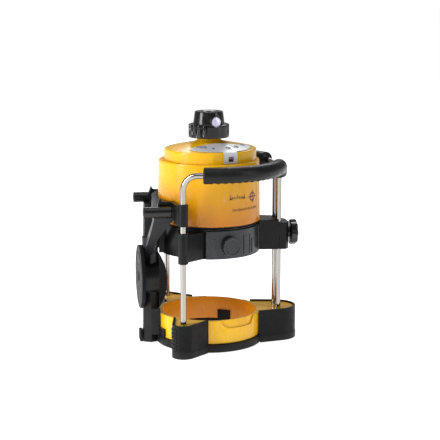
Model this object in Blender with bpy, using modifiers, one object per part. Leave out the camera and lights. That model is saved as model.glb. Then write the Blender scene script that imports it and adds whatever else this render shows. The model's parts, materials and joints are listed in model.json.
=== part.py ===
"""Rotating laser level in a protective frame: three corner feet, two U-shaped bails, a height carriage that
slides on the posts, a self-levelling laser unit and a spinning prism head. Metres, +Z up, front towards -Y.
Angles called az are degrees about +Z, counted from the front and growing towards +X."""

import math

import bmesh
import bpy
from mathutils import Matrix, Vector

MM = 0.001
GAP = 0.3 * MM

# Frame
POST_CIRCLE = 97 * MM
TUBE_R = 4 * MM
BORE_R = 4.35 * MM
POST_SPLIT = 11.5 * MM
BAIL_TOP = 249 * MM
BEND_R = 21 * MM
TUBE_FOOT = 18 * MM
GRIP_R = 11.3 * MM
GRIP_START = 28 * MM
FRONT_LEFT, RIGHT, REAR_LEFT, SUPPORT_SIDE, REAR_SIDE = -60, 60, 180, -120, 120
SPLIT_AZ = math.degrees(math.atan(POST_SPLIT / POST_CIRCLE))

# Base
RING_IN = 66.4 * MM
RING_OUT = 72 * MM
BAND_R = 75.4 * MM
BAND_TOP = 11.7 * MM
BASE_TOP = 44 * MM
BOOT_TOP = 46 * MM
BOOT_WALL = 3.4 * MM
BOOT_LIP = 0.6 * MM
FOOT_END_R = {FRONT_LEFT: 12 * MM, RIGHT: 24.5 * MM, REAR_LEFT: 12 * MM}
FOOT_ROOT_HALF = {FRONT_LEFT: 22.5 * MM, RIGHT: 31 * MM, REAR_LEFT: 22.5 * MM}
POCKET_SPAN = 24
POCKET_LOW = 32.5 * MM
POCKET_FLOOR_R = 69.4 * MM

# Side support: u is the distance outwards from the plane of the two left posts
SIDE_IN = 48.5 * MM
SIDE_PLANE = SIDE_IN + 51 * MM
SLEEVE_R = 6.7 * MM
YOKE_LOW = 180 * MM
YOKE_TOP = 209.6 * MM
YOKE_WALL_LOW = 189.3 * MM
PEG_Z = 196 * MM
PEG_R = 7.5 * MM
PEG_SPREAD = 62 * MM
PEG_START = 61.8 * MM
DISC_Z = 94 * MM
DISC_R = 44.5 * MM
THREAD_R = 7.94 * MM

# Carriage and laser unit
ARM_LOW = 130 * MM
ARM_TOP = 168 * MM
RIGHT_ARM_TOP = 172 * MM
HULL_R = 68.2 * MM
DOOR_R = 71 * MM
HULL_LOW = 130 * MM
SLOT_HALF = 15 * MM
SLOT_IN = 57 * MM
HULL_TOP = 173.5 * MM
LASER_FRONT = -13.5
LOCK_AZ = -15
LOCK_Z = 148 * MM
CLAMP_Z = 151 * MM
CLAMP_FACE = 111.6 * MM
SHELL_LOW = 174.4 * MM
SHELL_TOP = 258.6 * MM
SHELL_R_LOW = 71.9 * MM
SHELL_R_TOP = 70.1 * MM
TIER_R = 64 * MM
TIER_SHIFT = 1.8 * MM
TIER_SHIFT_AZ = 45
TIER_TOP = 274 * MM
NECK_R = 17.3 * MM
CONE_TOP = 283.5 * MM
NECK_TOP = 288.4 * MM
CONE_SLOPE = (CONE_TOP - TIER_TOP) / (TIER_R - NECK_R)

# Head
HEAD_LOW = 289 * MM
SKIRT_TOP = 307 * MM
HEAD_TOP = 324.5 * MM
SKIRT_R = 28.2 * MM
DRUM_R = 21.8 * MM
CAP_R = 19.7 * MM
WINDOW_AZ = -12
WINDOW_Z = 311 * MM
PIVOT_Z = 256 * MM
GEAR_MODULE = 0.75 * MM
GEAR_TEETH = 36
PINION_TEETH = 12
GEAR_DISTANCE = GEAR_MODULE * (GEAR_TEETH + PINION_TEETH) / 2

for thing in list(bpy.data.objects):
    bpy.data.objects.remove(thing, do_unlink=True)


def collection(name):
    made = bpy.data.collections.new(name)
    bpy.context.scene.collection.children.link(made)
    return made


PARTS = collection("rotating_laser_level")
CUTTERS = collection("cutters")


def plastic(name, colour, roughness, metallic=0.0):
    mat = bpy.data.materials.new(name)
    mat.use_nodes = True
    shader = mat.node_tree.nodes["Principled BSDF"]
    shader.inputs["Base Color"].default_value = (*colour, 1.0)
    shader.inputs["Roughness"].default_value = roughness
    shader.inputs["Metallic"].default_value = metallic
    return mat


YELLOW = plastic("housing_yellow", (0.90, 0.50, 0.04), 0.32)
BLACK = plastic("moulded_black", (0.018, 0.019, 0.021), 0.45)
GREY = plastic("moulded_grey", (0.10, 0.11, 0.125), 0.50)
RUBBER = plastic("rubber_black", (0.022, 0.023, 0.025), 0.75)
STEEL = plastic("polished_steel", (0.62, 0.60, 0.57), 0.18, 1.0)
ALUMINIUM = plastic("machined_aluminium", (0.72, 0.73, 0.74), 0.35, 1.0)
BRASS = plastic("turned_brass", (0.70, 0.50, 0.20), 0.30, 1.0)
LABEL = plastic("panel_label", (0.55, 0.56, 0.57), 0.40)
GLASS = plastic("coated_glass", (0.55, 0.55, 0.85), 0.08)
DARK_WINDOW = plastic("dark_window", (0.05, 0.02, 0.02), 0.15)
BOARD = plastic("circuit_board", (0.03, 0.16, 0.07), 0.50)
CELL = plastic("battery_sleeve", (0.12, 0.12, 0.14), 0.35)
GEAR_WHITE = plastic("gear_plastic", (0.75, 0.73, 0.66), 0.45)


def ring_point(az, radius, z=0.0):
    """Point at an azimuth from the front, a radius and a height."""
    angle = math.radians(az)
    return Vector((radius * math.sin(angle), -radius * math.cos(angle), z))


def side_frame(az, offset=0.0, z=0.0):
    """Matrix whose local +X points outwards at az, +Y along growing az and +Z up."""
    return Matrix.Translation(ring_point(az, offset, z)) @ Matrix.Rotation(math.radians(az - 90), 4, "Z")


def outward_frame(az, offset, z):
    """Matrix whose local +Z points outwards at az and whose local +Y points up."""
    across = Matrix.Rotation(math.radians(90), 4, "Z") @ Matrix.Rotation(math.radians(90), 4, "X")
    return side_frame(az, offset, z) @ across


def add_object(name, data, mat, matrix=None, group=PARTS):
    obj = bpy.data.objects.new(name, data)
    group.objects.link(obj)
    obj.matrix_world = matrix or Matrix.Identity(4)
    if mat:
        data.materials.append(mat)
    return obj


def smooth(mesh, angle=35):
    mesh.shade_smooth()
    mesh.set_sharp_from_angle(angle=math.radians(angle))


def from_bmesh(name, bm, mat, matrix=None):
    mesh = bpy.data.meshes.new(name)
    bmesh.ops.recalc_face_normals(bm, faces=bm.faces)
    bm.to_mesh(mesh)
    bm.free()
    smooth(mesh)
    return add_object(name, mesh, mat, matrix)


def block(name, low, high, mat=None, matrix=None):
    """Box between two opposite corners, in the frame of matrix."""
    low = Vector(low)
    high = Vector(high)
    bm = bmesh.new()
    bmesh.ops.create_cube(bm, size=1.0)
    bmesh.ops.scale(bm, vec=high - low, verts=bm.verts)
    bmesh.ops.translate(bm, vec=(high + low) / 2, verts=bm.verts)
    return from_bmesh(name, bm, mat, matrix)


def rod(name, radius, low, high, mat=None, matrix=None, sides=24):
    """Cylinder along local Z between two heights."""
    bm = bmesh.new()
    bmesh.ops.create_cone(bm, cap_ends=True, segments=sides, radius1=radius, radius2=radius, depth=high - low)
    bmesh.ops.translate(bm, vec=(0, 0, (low + high) / 2), verts=bm.verts)
    return from_bmesh(name, bm, mat, matrix)


def to_mesh(obj):
    """Replace a curve object by its welded mesh."""
    bpy.context.view_layer.update()
    evaluated = obj.evaluated_get(bpy.context.evaluated_depsgraph_get())
    mesh = bpy.data.meshes.new_from_object(evaluated)
    bm = bmesh.new()
    bm.from_mesh(mesh)
    bmesh.ops.remove_doubles(bm, verts=bm.verts, dist=0.00001)
    bmesh.ops.recalc_face_normals(bm, faces=bm.faces)
    bm.to_mesh(mesh)
    bm.free()
    smooth(mesh)
    name = obj.name
    matrix = obj.matrix_world.copy()
    bpy.data.objects.remove(obj, do_unlink=True)
    return add_object(name, mesh, None, matrix)


def slab(name, loops, low, high, mat=None, matrix=None):
    """Flat outline with its holes, extruded along local Z from low to high."""
    curve = bpy.data.curves.new(name, "CURVE")
    curve.dimensions = "2D"
    curve.fill_mode = "BOTH"
    curve.extrude = (high - low) / 2
    for loop in loops:
        spline = curve.splines.new("POLY")
        spline.points.add(len(loop) - 1)
        for point, (x, y) in zip(spline.points, loop):
            point.co = (x, y, 0, 1)
        spline.use_cyclic_u = True
    lift = Matrix.Translation((0, 0, (low + high) / 2))
    curve.materials.append(mat)
    return to_mesh(add_object(name, curve, None, (matrix or Matrix.Identity(4)) @ lift))


def turned(name, profile, mat=None, matrix=None, steps=48, closed=True):
    """Profile of (radius, height) points turned about local Z; its outer side runs from top to bottom."""
    mesh = bpy.data.meshes.new(name)
    count = len(profile)
    edges = [(i, (i + 1) % count) for i in range(count if closed else count - 1)]
    mesh.from_pydata([(radius, 0, z) for radius, z in profile], edges, [])
    obj = add_object(name, mesh, mat, matrix)
    screw = obj.modifiers.new("turn", "SCREW")
    screw.steps = steps
    screw.render_steps = steps
    screw.use_smooth_shade = True
    screw.use_merge_vertices = True
    screw.merge_threshold = 0.00001
    weld = obj.modifiers.new("weld", "WELD")
    weld.merge_threshold = 0.00001
    return obj


def cut(target, *tools, join=False):
    """Take each tool away from the target, or join it on."""
    for tool in tools:
        for old in tool.users_collection:
            old.objects.unlink(tool)
        CUTTERS.objects.link(tool)
        tool.hide_render = True
        tool.display_type = "WIRE"
        boolean = target.modifiers.new(tool.name, "BOOLEAN")
        boolean.operation = "UNION" if join else "DIFFERENCE"
        boolean.solver = "EXACT"
        boolean.object = tool
    return target


def arc(radius, start, end, steps, centre=(0.0, 0.0)):
    """Points on an arc, angles in degrees from local +X."""
    points = []
    for i in range(steps + 1):
        angle = math.radians(start + (end - start) * i / steps)
        points.append((centre[0] + radius * math.cos(angle), centre[1] + radius * math.sin(angle)))
    return points


def circle(radius, sides=24, centre=(0.0, 0.0)):
    return arc(radius, 0, 360 - 360 / sides, sides - 1, centre)


def bevel(obj, width, segments=1, angle=40):
    rounding = obj.modifiers.new("rounding", "BEVEL")
    rounding.width = width
    rounding.segments = segments
    rounding.limit_method = "ANGLE"
    rounding.angle_limit = math.radians(angle)
    rounding.harden_normals = False
    return obj


# ---------------------------------------------------------------- base
def foot_outline(corner, offset=0.0, extend=0.0, steps=10):
    """Foot seen from above in its own side frame: two flanks that run tangent into a round end. An offset
    moves the whole outline outwards, and extend lengthens its flanks towards the middle of the base."""
    end_r = FOOT_END_R[corner]
    half = FOOT_ROOT_HALF[corner]
    back = math.sqrt(RING_OUT ** 2 - half ** 2)
    reach = POST_CIRCLE - back
    turn = math.atan2(half, -reach) - math.acos(end_r / math.hypot(reach, half))
    root_x = back + offset * math.cos(turn) - extend * math.sin(turn)
    root_y = half + offset * math.sin(turn) + extend * math.cos(turn)
    degrees = math.degrees(turn)
    rounded = arc(end_r + offset, -degrees, degrees, steps, (POST_CIRCLE, 0))
    return [(root_x, -root_y)] + rounded + [(root_x, root_y)]


def post_azimuths(corner):
    return (corner - SPLIT_AZ, corner + SPLIT_AZ) if corner == RIGHT else (corner,)


def post_radius(corner):
    return math.hypot(POST_CIRCLE, POST_SPLIT) if corner == RIGHT else POST_CIRCLE


def pocket_cutter(name, middle):
    """Finger pocket in the ring's outer wall, open to the rim, with rounded lower corners."""
    outline = arc(POCKET_FLOOR_R, -POCKET_SPAN, POCKET_SPAN, 10)
    outline += arc(RING_OUT + 8 * MM, POCKET_SPAN - 3, -POCKET_SPAN + 3, 10)
    return slab(name, [outline], POCKET_LOW, BASE_TOP + 4 * MM, None, side_frame(middle))


def make_base_ring():
    outline = []
    corners = (FRONT_LEFT, RIGHT, REAR_LEFT)
    for i, corner in enumerate(corners):
        frame = side_frame(corner)
        foot = [frame @ Vector((x, y, 0)) for x, y in foot_outline(corner)]
        outline += [(p.x, p.y) for p in foot]
        half_angle = math.degrees(math.asin(FOOT_ROOT_HALF[corner] / RING_OUT))
        following = corners[(i + 1) % 3]
        next_half = math.degrees(math.asin(FOOT_ROOT_HALF[following] / RING_OUT))
        start = corner + half_angle
        end = corner + 120 - next_half
        for k in range(1, 12):
            p = ring_point(start + (end - start) * k / 12, RING_OUT)
            outline.append((p.x, p.y))
    loops = [outline, circle(RING_IN, 48)]
    for corner in corners:
        for az in post_azimuths(corner):
            p = ring_point(az, post_radius(corner))
            loops.append(circle(BORE_R, 16, (p.x, p.y)))
    ring = slab("base_ring", loops, BAND_TOP + GAP, BASE_TOP, YELLOW)
    return cut(ring, pocket_cutter("cut_pocket_front", -2), pocket_cutter("cut_pocket_rear", REAR_SIDE))


def make_base_band():
    low_edge = 1.2 * MM
    profile = [(RING_IN, BAND_TOP), (BAND_R, BAND_TOP), (BAND_R, low_edge), (BAND_R - low_edge, 0), (RING_IN, 0)]
    return turned("base_band", profile, RUBBER, steps=48)


def make_boot(name, corner):
    """Rubber corner cover: a floor under the foot and a wall round it that ends in a raised rim."""
    outer = foot_outline(corner, BOOT_WALL)
    boot = slab(name, [outer], 0, BOOT_TOP, RUBBER, side_frame(corner))
    lip = slab("join_lip_" + name, [foot_outline(corner, BOOT_WALL + BOOT_LIP)], 0, 9 * MM, None, side_frame(corner))
    cut(boot, lip, join=True)
    room = foot_outline(corner, GAP, 12 * MM)
    cavity = slab("cut_" + name, [room], BAND_TOP, BOOT_TOP + 5 * MM, None, side_frame(corner))
    ring_room = rod("cut_ring_" + name, RING_OUT + GAP, BAND_TOP, BOOT_TOP + 5 * MM, sides=96)
    band_room = rod("cut_band_" + name, BAND_R + GAP, -1 * MM, BAND_TOP + 0.2 * MM, sides=96)
    return cut(boot, cavity, ring_room, band_room)


def make_ring_pads():
    """Rectangular rubber stops on the inner wall of the ring, under the carriage."""
    for name, az in (("ring_pad_front", 1), ("ring_pad_rear", 121), ("ring_pad_left", -119)):
        outline = arc(RING_IN - GAP, -8.4, 8.4, 4) + arc(RING_IN - 2.4 * MM, 8.4, -8.4, 4)
        slab(name, [outline], 12 * MM, 25 * MM, RUBBER, side_frame(az))


# ---------------------------------------------------------------- bails and grips
def bail_path(start_az, end_az, foot_z=TUBE_FOOT, skip=0.0, stop=None, steps=8):
    """Centre line from one foot up, over the bowed top and down; skip and stop trim it to a grip's length."""
    radius = post_radius(RIGHT) if start_az > 0 else POST_CIRCLE
    end_radius = post_radius(RIGHT) if abs(end_az - 180) > 1 else POST_CIRCLE
    bend_angle = math.degrees(BEND_R / POST_CIRCLE)
    points = []
    if skip == 0:
        points.append(ring_point(start_az, radius, foot_z))
        for i in range(steps):
            phi = math.radians(90 * i / steps)
            az = start_az + bend_angle * (1 - math.cos(phi))
            points.append(ring_point(az, radius, BAIL_TOP - BEND_R * (1 - math.sin(phi))))
    first = start_az + (math.degrees(skip / POST_CIRCLE) if skip else bend_angle)
    last = end_az - bend_angle
    for i in range(15):
        share = i / 14
        bowed = radius + (end_radius - radius) * share
        points.append(ring_point(first + (last - first) * share, bowed, BAIL_TOP))
    for i in range(1, steps + 1):
        phi = math.radians(90 * i / steps)
        if stop is not None and math.degrees(phi) > stop:
            break
        az = end_az - bend_angle * (1 - math.sin(phi))
        points.append(ring_point(az, end_radius, BAIL_TOP - BEND_R * (1 - math.cos(phi))))
    if stop is None:
        points.append(ring_point(end_az, end_radius, foot_z))
    return points


def tube(name, points, radius, mat, resolution):
    curve = bpy.data.curves.new(name, "CURVE")
    curve.dimensions = "3D"
    curve.bevel_depth = radius
    curve.bevel_resolution = resolution
    curve.use_fill_caps = True
    spline = curve.splines.new("POLY")
    spline.points.add(len(points) - 1)
    for point, place in zip(spline.points, points):
        point.co = (*place, 1)
        point.radius = 1
    curve.materials.append(mat)
    return to_mesh(add_object(name, curve, None))


def make_bail_and_grip(side, start_az, end_az):
    tube(side + "_bail", bail_path(start_az, end_az), TUBE_R, STEEL, 2)
    covered = bail_path(start_az, end_az, skip=GRIP_START, stop=68)
    grip = tube(side + "_grip", covered, GRIP_R, RUBBER, 4)
    cut(grip, tube("cut_" + side + "_grip", bail_path(start_az, end_az, foot_z=150 * MM), BORE_R + GAP, None, 2))


# ---------------------------------------------------------------- side support
def yoke_radius(angle):
    """Radius of the yoke's centre line: close round the housing, then out to the posts."""
    start = 38
    share = min(max((abs(angle) - start) / (60 - start), 0), 1)
    return 77.4 * MM + (POST_CIRCLE - 77.4 * MM) * share * share * (3 - 2 * share)


def make_support_yoke():
    frame = side_frame(SUPPORT_SIDE)
    wall = 3 * MM
    outer = []
    inner = []
    for i in range(25):
        angle = -60 + 5 * i
        turn = math.radians(angle)
        for points, radius in ((outer, yoke_radius(angle) + wall), (inner, yoke_radius(angle) - wall)):
            points.append((radius * math.cos(turn), radius * math.sin(turn)))
    yoke = slab("support_yoke", [outer + inner[::-1]], YOKE_WALL_LOW, 208 * MM, BLACK, frame)
    for name, part in (("rear", slice(0, 3)), ("front", slice(22, 25))):
        web = outer[part] + inner[part][::-1]
        cut(yoke, slab("join_web_" + name, [web], 181 * MM, YOKE_WALL_LOW + 1 * MM, None, frame), join=True)
    for side, name in ((1, "front"), (-1, "rear")):
        post = frame @ Matrix.Translation((SIDE_IN, side * 84.0 * MM, 0))
        cut(yoke, rod("join_sleeve_" + name, SLEEVE_R, YOKE_LOW, YOKE_TOP, matrix=post), join=True)
        cut(yoke, make_cheek("join_cheek_" + name, side * 50 * MM, frame), join=True)
        root = peg_frame(side)
        cut(yoke, rod("join_root_" + name, PEG_R, 56 * MM, PEG_START - GAP, matrix=root), join=True)
        cut(yoke, rod("cut_sleeve_" + name, BORE_R, 170 * MM, 220 * MM, matrix=post, sides=16))
    return yoke


def make_cheek(name, v, frame):
    """Upright plate beside the housing whose outer corner rises to a pointed sighting horn."""
    base = 56 * MM
    outline = [(base, YOKE_WALL_LOW), (78 * MM, YOKE_WALL_LOW), (78.5 * MM, 205 * MM), (75.5 * MM, 214 * MM)]
    outline += [(72.5 * MM, 209 * MM), (base, 208 * MM)]
    upright = frame @ Matrix.Translation((0, v, 0)) @ Matrix.Rotation(math.radians(90), 4, "X")
    return slab(name, [outline], -4 * MM, 4 * MM, None, upright)


def peg_frame(side):
    """Frame whose local +Z runs outwards along a stand-off peg."""
    seat = side_frame(SUPPORT_SIDE) @ Matrix.Translation((0, side * PEG_SPREAD, PEG_Z))
    return seat @ Matrix.Rotation(math.radians(90), 4, "Y")


def make_pegs():
    for name, side in (("standoff_peg_front", 1), ("standoff_peg_rear", -1)):
        along = peg_frame(side)
        peg = rod(name, PEG_R, PEG_START, SIDE_PLANE, BLACK, along)
        cut(peg, rod("cut_" + name, PEG_R - 2.4 * MM, SIDE_PLANE - 16 * MM, SIDE_PLANE + 5 * MM, matrix=along))


TINE_LEVELS = ((PEG_Z - PEG_R - GAP, ((54, 50), (85, 50), (85, 65), (54, 65))),
               (179 * MM, ((63, 43), (85.5, 43), (86, 60), (63.5, 61))),
               (155 * MM, ((73.6, 20), (89, 20), (89, 38), (76, 38))),
               (126 * MM, ((77, -6), (93, -6), (93, 9), (82, 12))))


def make_tine(name, side, frame):
    """Fork arm: a flared top under the peg that narrows down into the column."""
    bm = bmesh.new()
    rings = [[bm.verts.new((x * MM, side * y * MM, z)) for x, y in corners] for z, corners in TINE_LEVELS]
    bm.faces.new(rings[0])
    bm.faces.new(rings[-1])
    for upper, lower in zip(rings, rings[1:]):
        for i in range(4):
            k = (i + 1) % 4
            bm.faces.new((upper[i], upper[k], lower[k]))
            bm.faces.new((upper[i], lower[k], lower[i]))
    return from_bmesh(name, bm, None, frame)


def make_support_column():
    frame = side_frame(SUPPORT_SIDE)
    half = [(73 * MM, 8 * MM), (84 * MM, 13 * MM), (94 * MM, 7.5 * MM)]
    outline = [(x, -y) for x, y in half] + [(x, y) for x, y in half[::-1]]
    column = slab("support_column", [outline], 1.5 * MM, 150 * MM, BLACK, frame)
    for side, name in ((1, "front"), (-1, "rear")):
        cut(column, make_tine("join_tine_" + name, side, frame), join=True)
    through = outward_frame(SUPPORT_SIDE, 0, DISC_Z)
    boss = rod("join_boss", 24 * MM, 73.2 * MM, SIDE_PLANE - 5.5 * MM, matrix=through, sides=32)
    clip = slab("join_clip", [arc(RING_OUT + GAP, -24, 24, 10) + arc(BAND_R, 24, -24, 10)], 13 * MM, 24 * MM,
                None, frame)
    saddle = arc(RING_OUT + GAP, -11.5, 11.5, 6) + [(84 * MM, 13 * MM), (84 * MM, -13 * MM)]
    cut(column, boss, clip, slab("join_saddle", [saddle], 12.5 * MM, 50 * MM, None, frame), join=True)
    room = rod("cut_thread_room", 9.2 * MM, 84 * MM, SIDE_PLANE, matrix=through)
    cut(column, room, rod("cut_band_room", BAND_R + GAP, -1 * MM, BAND_TOP + GAP, sides=96))
    return column


def make_disc_parts():
    through = outward_frame(SUPPORT_SIDE, 0, DISC_Z)
    inner, outer = SIDE_PLANE - 5.2 * MM, SIDE_PLANE
    profile = [(9.2 * MM, outer), (DISC_R - 1 * MM, outer), (DISC_R, outer - 1 * MM), (DISC_R, inner)]
    profile.append((9.2 * MM, inner))
    turned("tripod_disc", profile, GREY, through, steps=40)
    flange = [(THREAD_R, outer - 0.4 * MM), (8.9 * MM, outer - 0.4 * MM), (8.9 * MM, 84.3 * MM)]
    turned("disc_thread_insert", flange + [(THREAD_R, 84.3 * MM)], BRASS, through, steps=24)
    bulge_r, bulge_centre, bulge_z = 71 * MM, 131.6 * MM, 90 * MM
    back = 72.7 * MM
    reach = math.degrees(math.acos((bulge_centre - back) / bulge_r))
    rounded = arc(bulge_r, 180 - reach, 180 + reach, 12, (bulge_centre, bulge_z))
    upright = side_frame(SUPPORT_SIDE) @ Matrix.Rotation(math.radians(90), 4, "X")
    bevel(slab("column_cover", [rounded], -12.5 * MM, 12.5 * MM, BLACK, upright), 2.5 * MM, 1, 60)
    foot = side_frame(SUPPORT_SIDE)
    pad = block("column_foot", (94.3 * MM, -9 * MM, 1.5 * MM), (SIDE_PLANE, 9 * MM, 18 * MM), RUBBER, foot)
    bevel(pad, 1.5 * MM, 2)


# ---------------------------------------------------------------- carriage
def make_arm(name, corner):
    """Arm from the laser's hull to a sleeve on one post."""
    frame = side_frame(corner)
    sleeve_r = 7 * MM
    web = arc(HULL_R + GAP, 17, -17, 6) + arc(sleeve_r, -100, 100, 10, (POST_CIRCLE, 0))
    arm = slab(name, [web], ARM_LOW + 1 * MM, ARM_TOP, BLACK, frame)
    post = frame @ Matrix.Translation((POST_CIRCLE, 0, 0))
    cut(arm, rod("join_" + name, sleeve_r, 128.8 * MM, 170.2 * MM, matrix=post), join=True)
    return cut(arm, rod("cut_" + name, BORE_R, 120 * MM, 180 * MM, matrix=post, sides=16))


def post_groove(face, opening):
    """Half-round grooves for the two right-hand posts, along a face at the given radius."""
    bite = math.degrees(math.acos((face - POST_CIRCLE) / BORE_R))
    points = []
    for side in (-1, 1):
        start, end = (-bite, bite) if opening > 0 else (360 - bite, bite)
        points += arc(BORE_R, start, end, 8, (POST_CIRCLE, side * POST_SPLIT))
    return points


def make_clamp():
    frame = side_frame(RIGHT)
    half = 18.5 * MM
    face = POST_CIRCLE - 0.4 * MM
    block_outline = arc(HULL_R + GAP, 27, -13.3, 8) + [(face, -half)] + post_groove(face, -1) + [(face, half)]
    arm = slab("carrier_arm_right", [block_outline], ARM_LOW, RIGHT_ARM_TOP, BLACK, frame)
    bore = outward_frame(RIGHT, 0, CLAMP_Z)
    cut(arm, rod("cut_stud_arm", 3.35 * MM, 80 * MM, 100 * MM, matrix=bore))
    face = POST_CIRCLE + 0.4 * MM
    jaw_outline = post_groove(face, 1)[::-1] + [(face, -half), (107 * MM, -half), (CLAMP_FACE, -12 * MM)]
    jaw_outline += [(CLAMP_FACE, 12 * MM), (107 * MM, half), (face, half)]
    jaw = slab("clamp_jaw", [jaw_outline], ARM_LOW, ARM_TOP, BLACK, frame)
    cut(jaw, rod("cut_stud_jaw", 3.35 * MM, 90 * MM, 120 * MM, matrix=bore))
    rod("clamp_stud", 3 * MM, 84 * MM, 120.5 * MM, STEEL, bore)
    make_knob(bore)


def make_knob(bore):
    """Lobed clamp knob on its stud."""
    lobes = 8
    outline = []
    for i in range(48):
        turn = 2 * math.pi * i / 48
        radius = 17.2 * MM + 0.9 * MM * math.cos(lobes * turn)
        outline.append((radius * math.cos(turn), radius * math.sin(turn)))
    knob = slab("clamp_knob", [outline], 115 * MM, 125.5 * MM, BLACK, bore)
    cut(knob, rod("join_knob_neck", 7.5 * MM, CLAMP_FACE + GAP, 120 * MM, matrix=bore), join=True)
    cut(knob, rod("cut_knob_bore", 3.35 * MM, 100 * MM, 121 * MM, matrix=bore))


def slotted_circle(radius, slot_half, slot_depth, steps=32):
    """Circle seen from above with a straight-sided slot on the support side, in that side's frame."""
    mouth = math.degrees(math.asin(slot_half / radius))
    return arc(radius, mouth, 360 - mouth, steps) + [(slot_depth, -slot_half), (slot_depth, slot_half)]


def make_hull():
    """Battery hull of the laser unit: a bucket with a threaded seat in its floor, a top flange, and a slot
    in its side that lets it pass the support column."""
    wall = 3 * MM
    frame = side_frame(SUPPORT_SIDE)
    outside = slotted_circle(HULL_R, SLOT_HALF, SLOT_IN)
    inside = slotted_circle(HULL_R - wall, SLOT_HALF + wall, SLOT_IN - wall)
    hull = slab("laser_hull", [outside, inside], HULL_LOW + 1 * MM, 171 * MM, BLACK, frame)
    floor = slab("join_floor", [outside, circle(9 * MM)], HULL_LOW, HULL_LOW + wall, None, frame)
    flange = slab("join_flange", [circle(66 * MM, 48), circle(53 * MM, 40)], 170.2 * MM, HULL_TOP, None, frame)
    cut(hull, floor, flange, join=True)
    for side, name in ((1, "front"), (-1, "rear")):
        near, far = SLOT_HALF, SLOT_HALF + wall
        rail = [(62 * MM, side * near), (72.6 * MM, side * near), (72.6 * MM, side * far), (62 * MM, side * far)]
        cut(hull, slab("join_rail_" + name, [rail], HULL_LOW + 1 * MM, 171 * MM, None, frame), join=True)
    insert = [(THREAD_R, 141 * MM), (8.7 * MM, 141 * MM), (8.7 * MM, HULL_LOW - GAP), (14 * MM, HULL_LOW - GAP)]
    insert += [(14 * MM, HULL_LOW - 1.8 * MM), (THREAD_R, HULL_LOW - 1.8 * MM)]
    turned("hull_thread_insert", insert, BRASS, steps=24)


def make_battery_door():
    shape = arc(DOOR_R, -42.3 - 90, 46 - 90, 16) + arc(HULL_R + GAP, 46 - 90, -42.3 - 90, 16)
    door = slab("battery_door", [shape], HULL_LOW, 169 * MM, BLACK)
    seat = outward_frame(LOCK_AZ, 0, LOCK_Z)
    cut(door, rod("cut_lock_seat", 5 * MM, 50 * MM, 80 * MM, matrix=seat))
    knob_r, face, front = 13.4 * MM, 71.4 * MM, 79 * MM
    profile = [(0, front), (knob_r - 1 * MM, front), (knob_r, front - 1 * MM), (knob_r, face), (4.6 * MM, face)]
    profile += [(4.6 * MM, 68.8 * MM), (0, 68.8 * MM)]
    turned("battery_lock_knob", profile, GREY, seat, steps=24, closed=False)


def make_batteries():
    cell_r, cell_half, nub = 16.8 * MM, 29.5 * MM, 2 * MM
    profile = [(0, cell_half + nub), (4.5 * MM, cell_half + nub), (4.5 * MM, cell_half), (cell_r, cell_half)]
    profile += [(cell_r, -cell_half), (0, -cell_half)]
    for name, side in (("battery_left", -1), ("battery_right", 1)):
        seat = side_frame(0) @ Matrix.Translation((0, side * 25.4 * MM, 151.6 * MM))
        turned(name, profile, CELL, seat @ Matrix.Rotation(math.radians(90 * side), 4, "Y"), 24, False)


def make_seal():
    profile = [(69 * MM, 176.5 * MM), (69 * MM, 172 * MM), (66.3 * MM, 172 * MM), (66.3 * MM, 176.5 * MM)]
    turned("housing_seal", profile, RUBBER, steps=48)


# ---------------------------------------------------------------- housing
def make_shell():
    wall = 2.6 * MM
    outer = [(TIER_R - 4 * MM, SHELL_TOP), (SHELL_R_TOP - 1.5 * MM, SHELL_TOP), (SHELL_R_TOP, SHELL_TOP - 1.5 * MM)]
    outer.append((SHELL_R_LOW, SHELL_LOW))
    inner = [(SHELL_R_LOW - wall, SHELL_LOW), (SHELL_R_TOP - wall, SHELL_TOP - wall)]
    inner.append((TIER_R - 4 * MM, SHELL_TOP - wall))
    turned("housing_shell", outer + inner, YELLOW, steps=48)


def tier_frame():
    """The raised top is set off the laser axis."""
    return Matrix.Translation(ring_point(TIER_SHIFT_AZ, TIER_SHIFT))


def cone_height(radius):
    return TIER_TOP + (TIER_R - radius) * CONE_SLOPE


def tier_point(az, radius, z=0.0):
    return tier_frame() @ ring_point(az, radius, z)


def cone_frame(az, radius):
    """Frame on the sloping top whose local +Z is the cone's outward normal."""
    lean = math.atan(CONE_SLOPE)
    return tier_frame() @ side_frame(az, radius, cone_height(radius)) @ Matrix.Rotation(lean, 4, "Y")


BUTTONS = (("button_power", -55, 43.5 * MM, 5.0 * MM), ("button_slope", -9, 48 * MM, 3.6 * MM),
           ("button_scan", 11, 46 * MM, 3.6 * MM), ("button_speed", 35, 45 * MM, 3.6 * MM))
LED = (-34, 47 * MM)


def button_shape(radius, stretch):
    return [(x, y * stretch) for x, y in circle(radius, 16)]


def cut_button_wells(target, prefix, clearance):
    for name, az, radius, size in BUTTONS:
        stretch = 1.45 if name == "button_power" else 1.0
        well = slab(prefix + name, [button_shape(size + clearance, stretch)], -8 * MM, 6 * MM, None,
                    cone_frame(az, radius))
        cut(target, well)
    cut(target, rod(prefix + "led", 1.5 * MM + clearance, -8 * MM, 6 * MM, None, cone_frame(*LED), 12))


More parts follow.
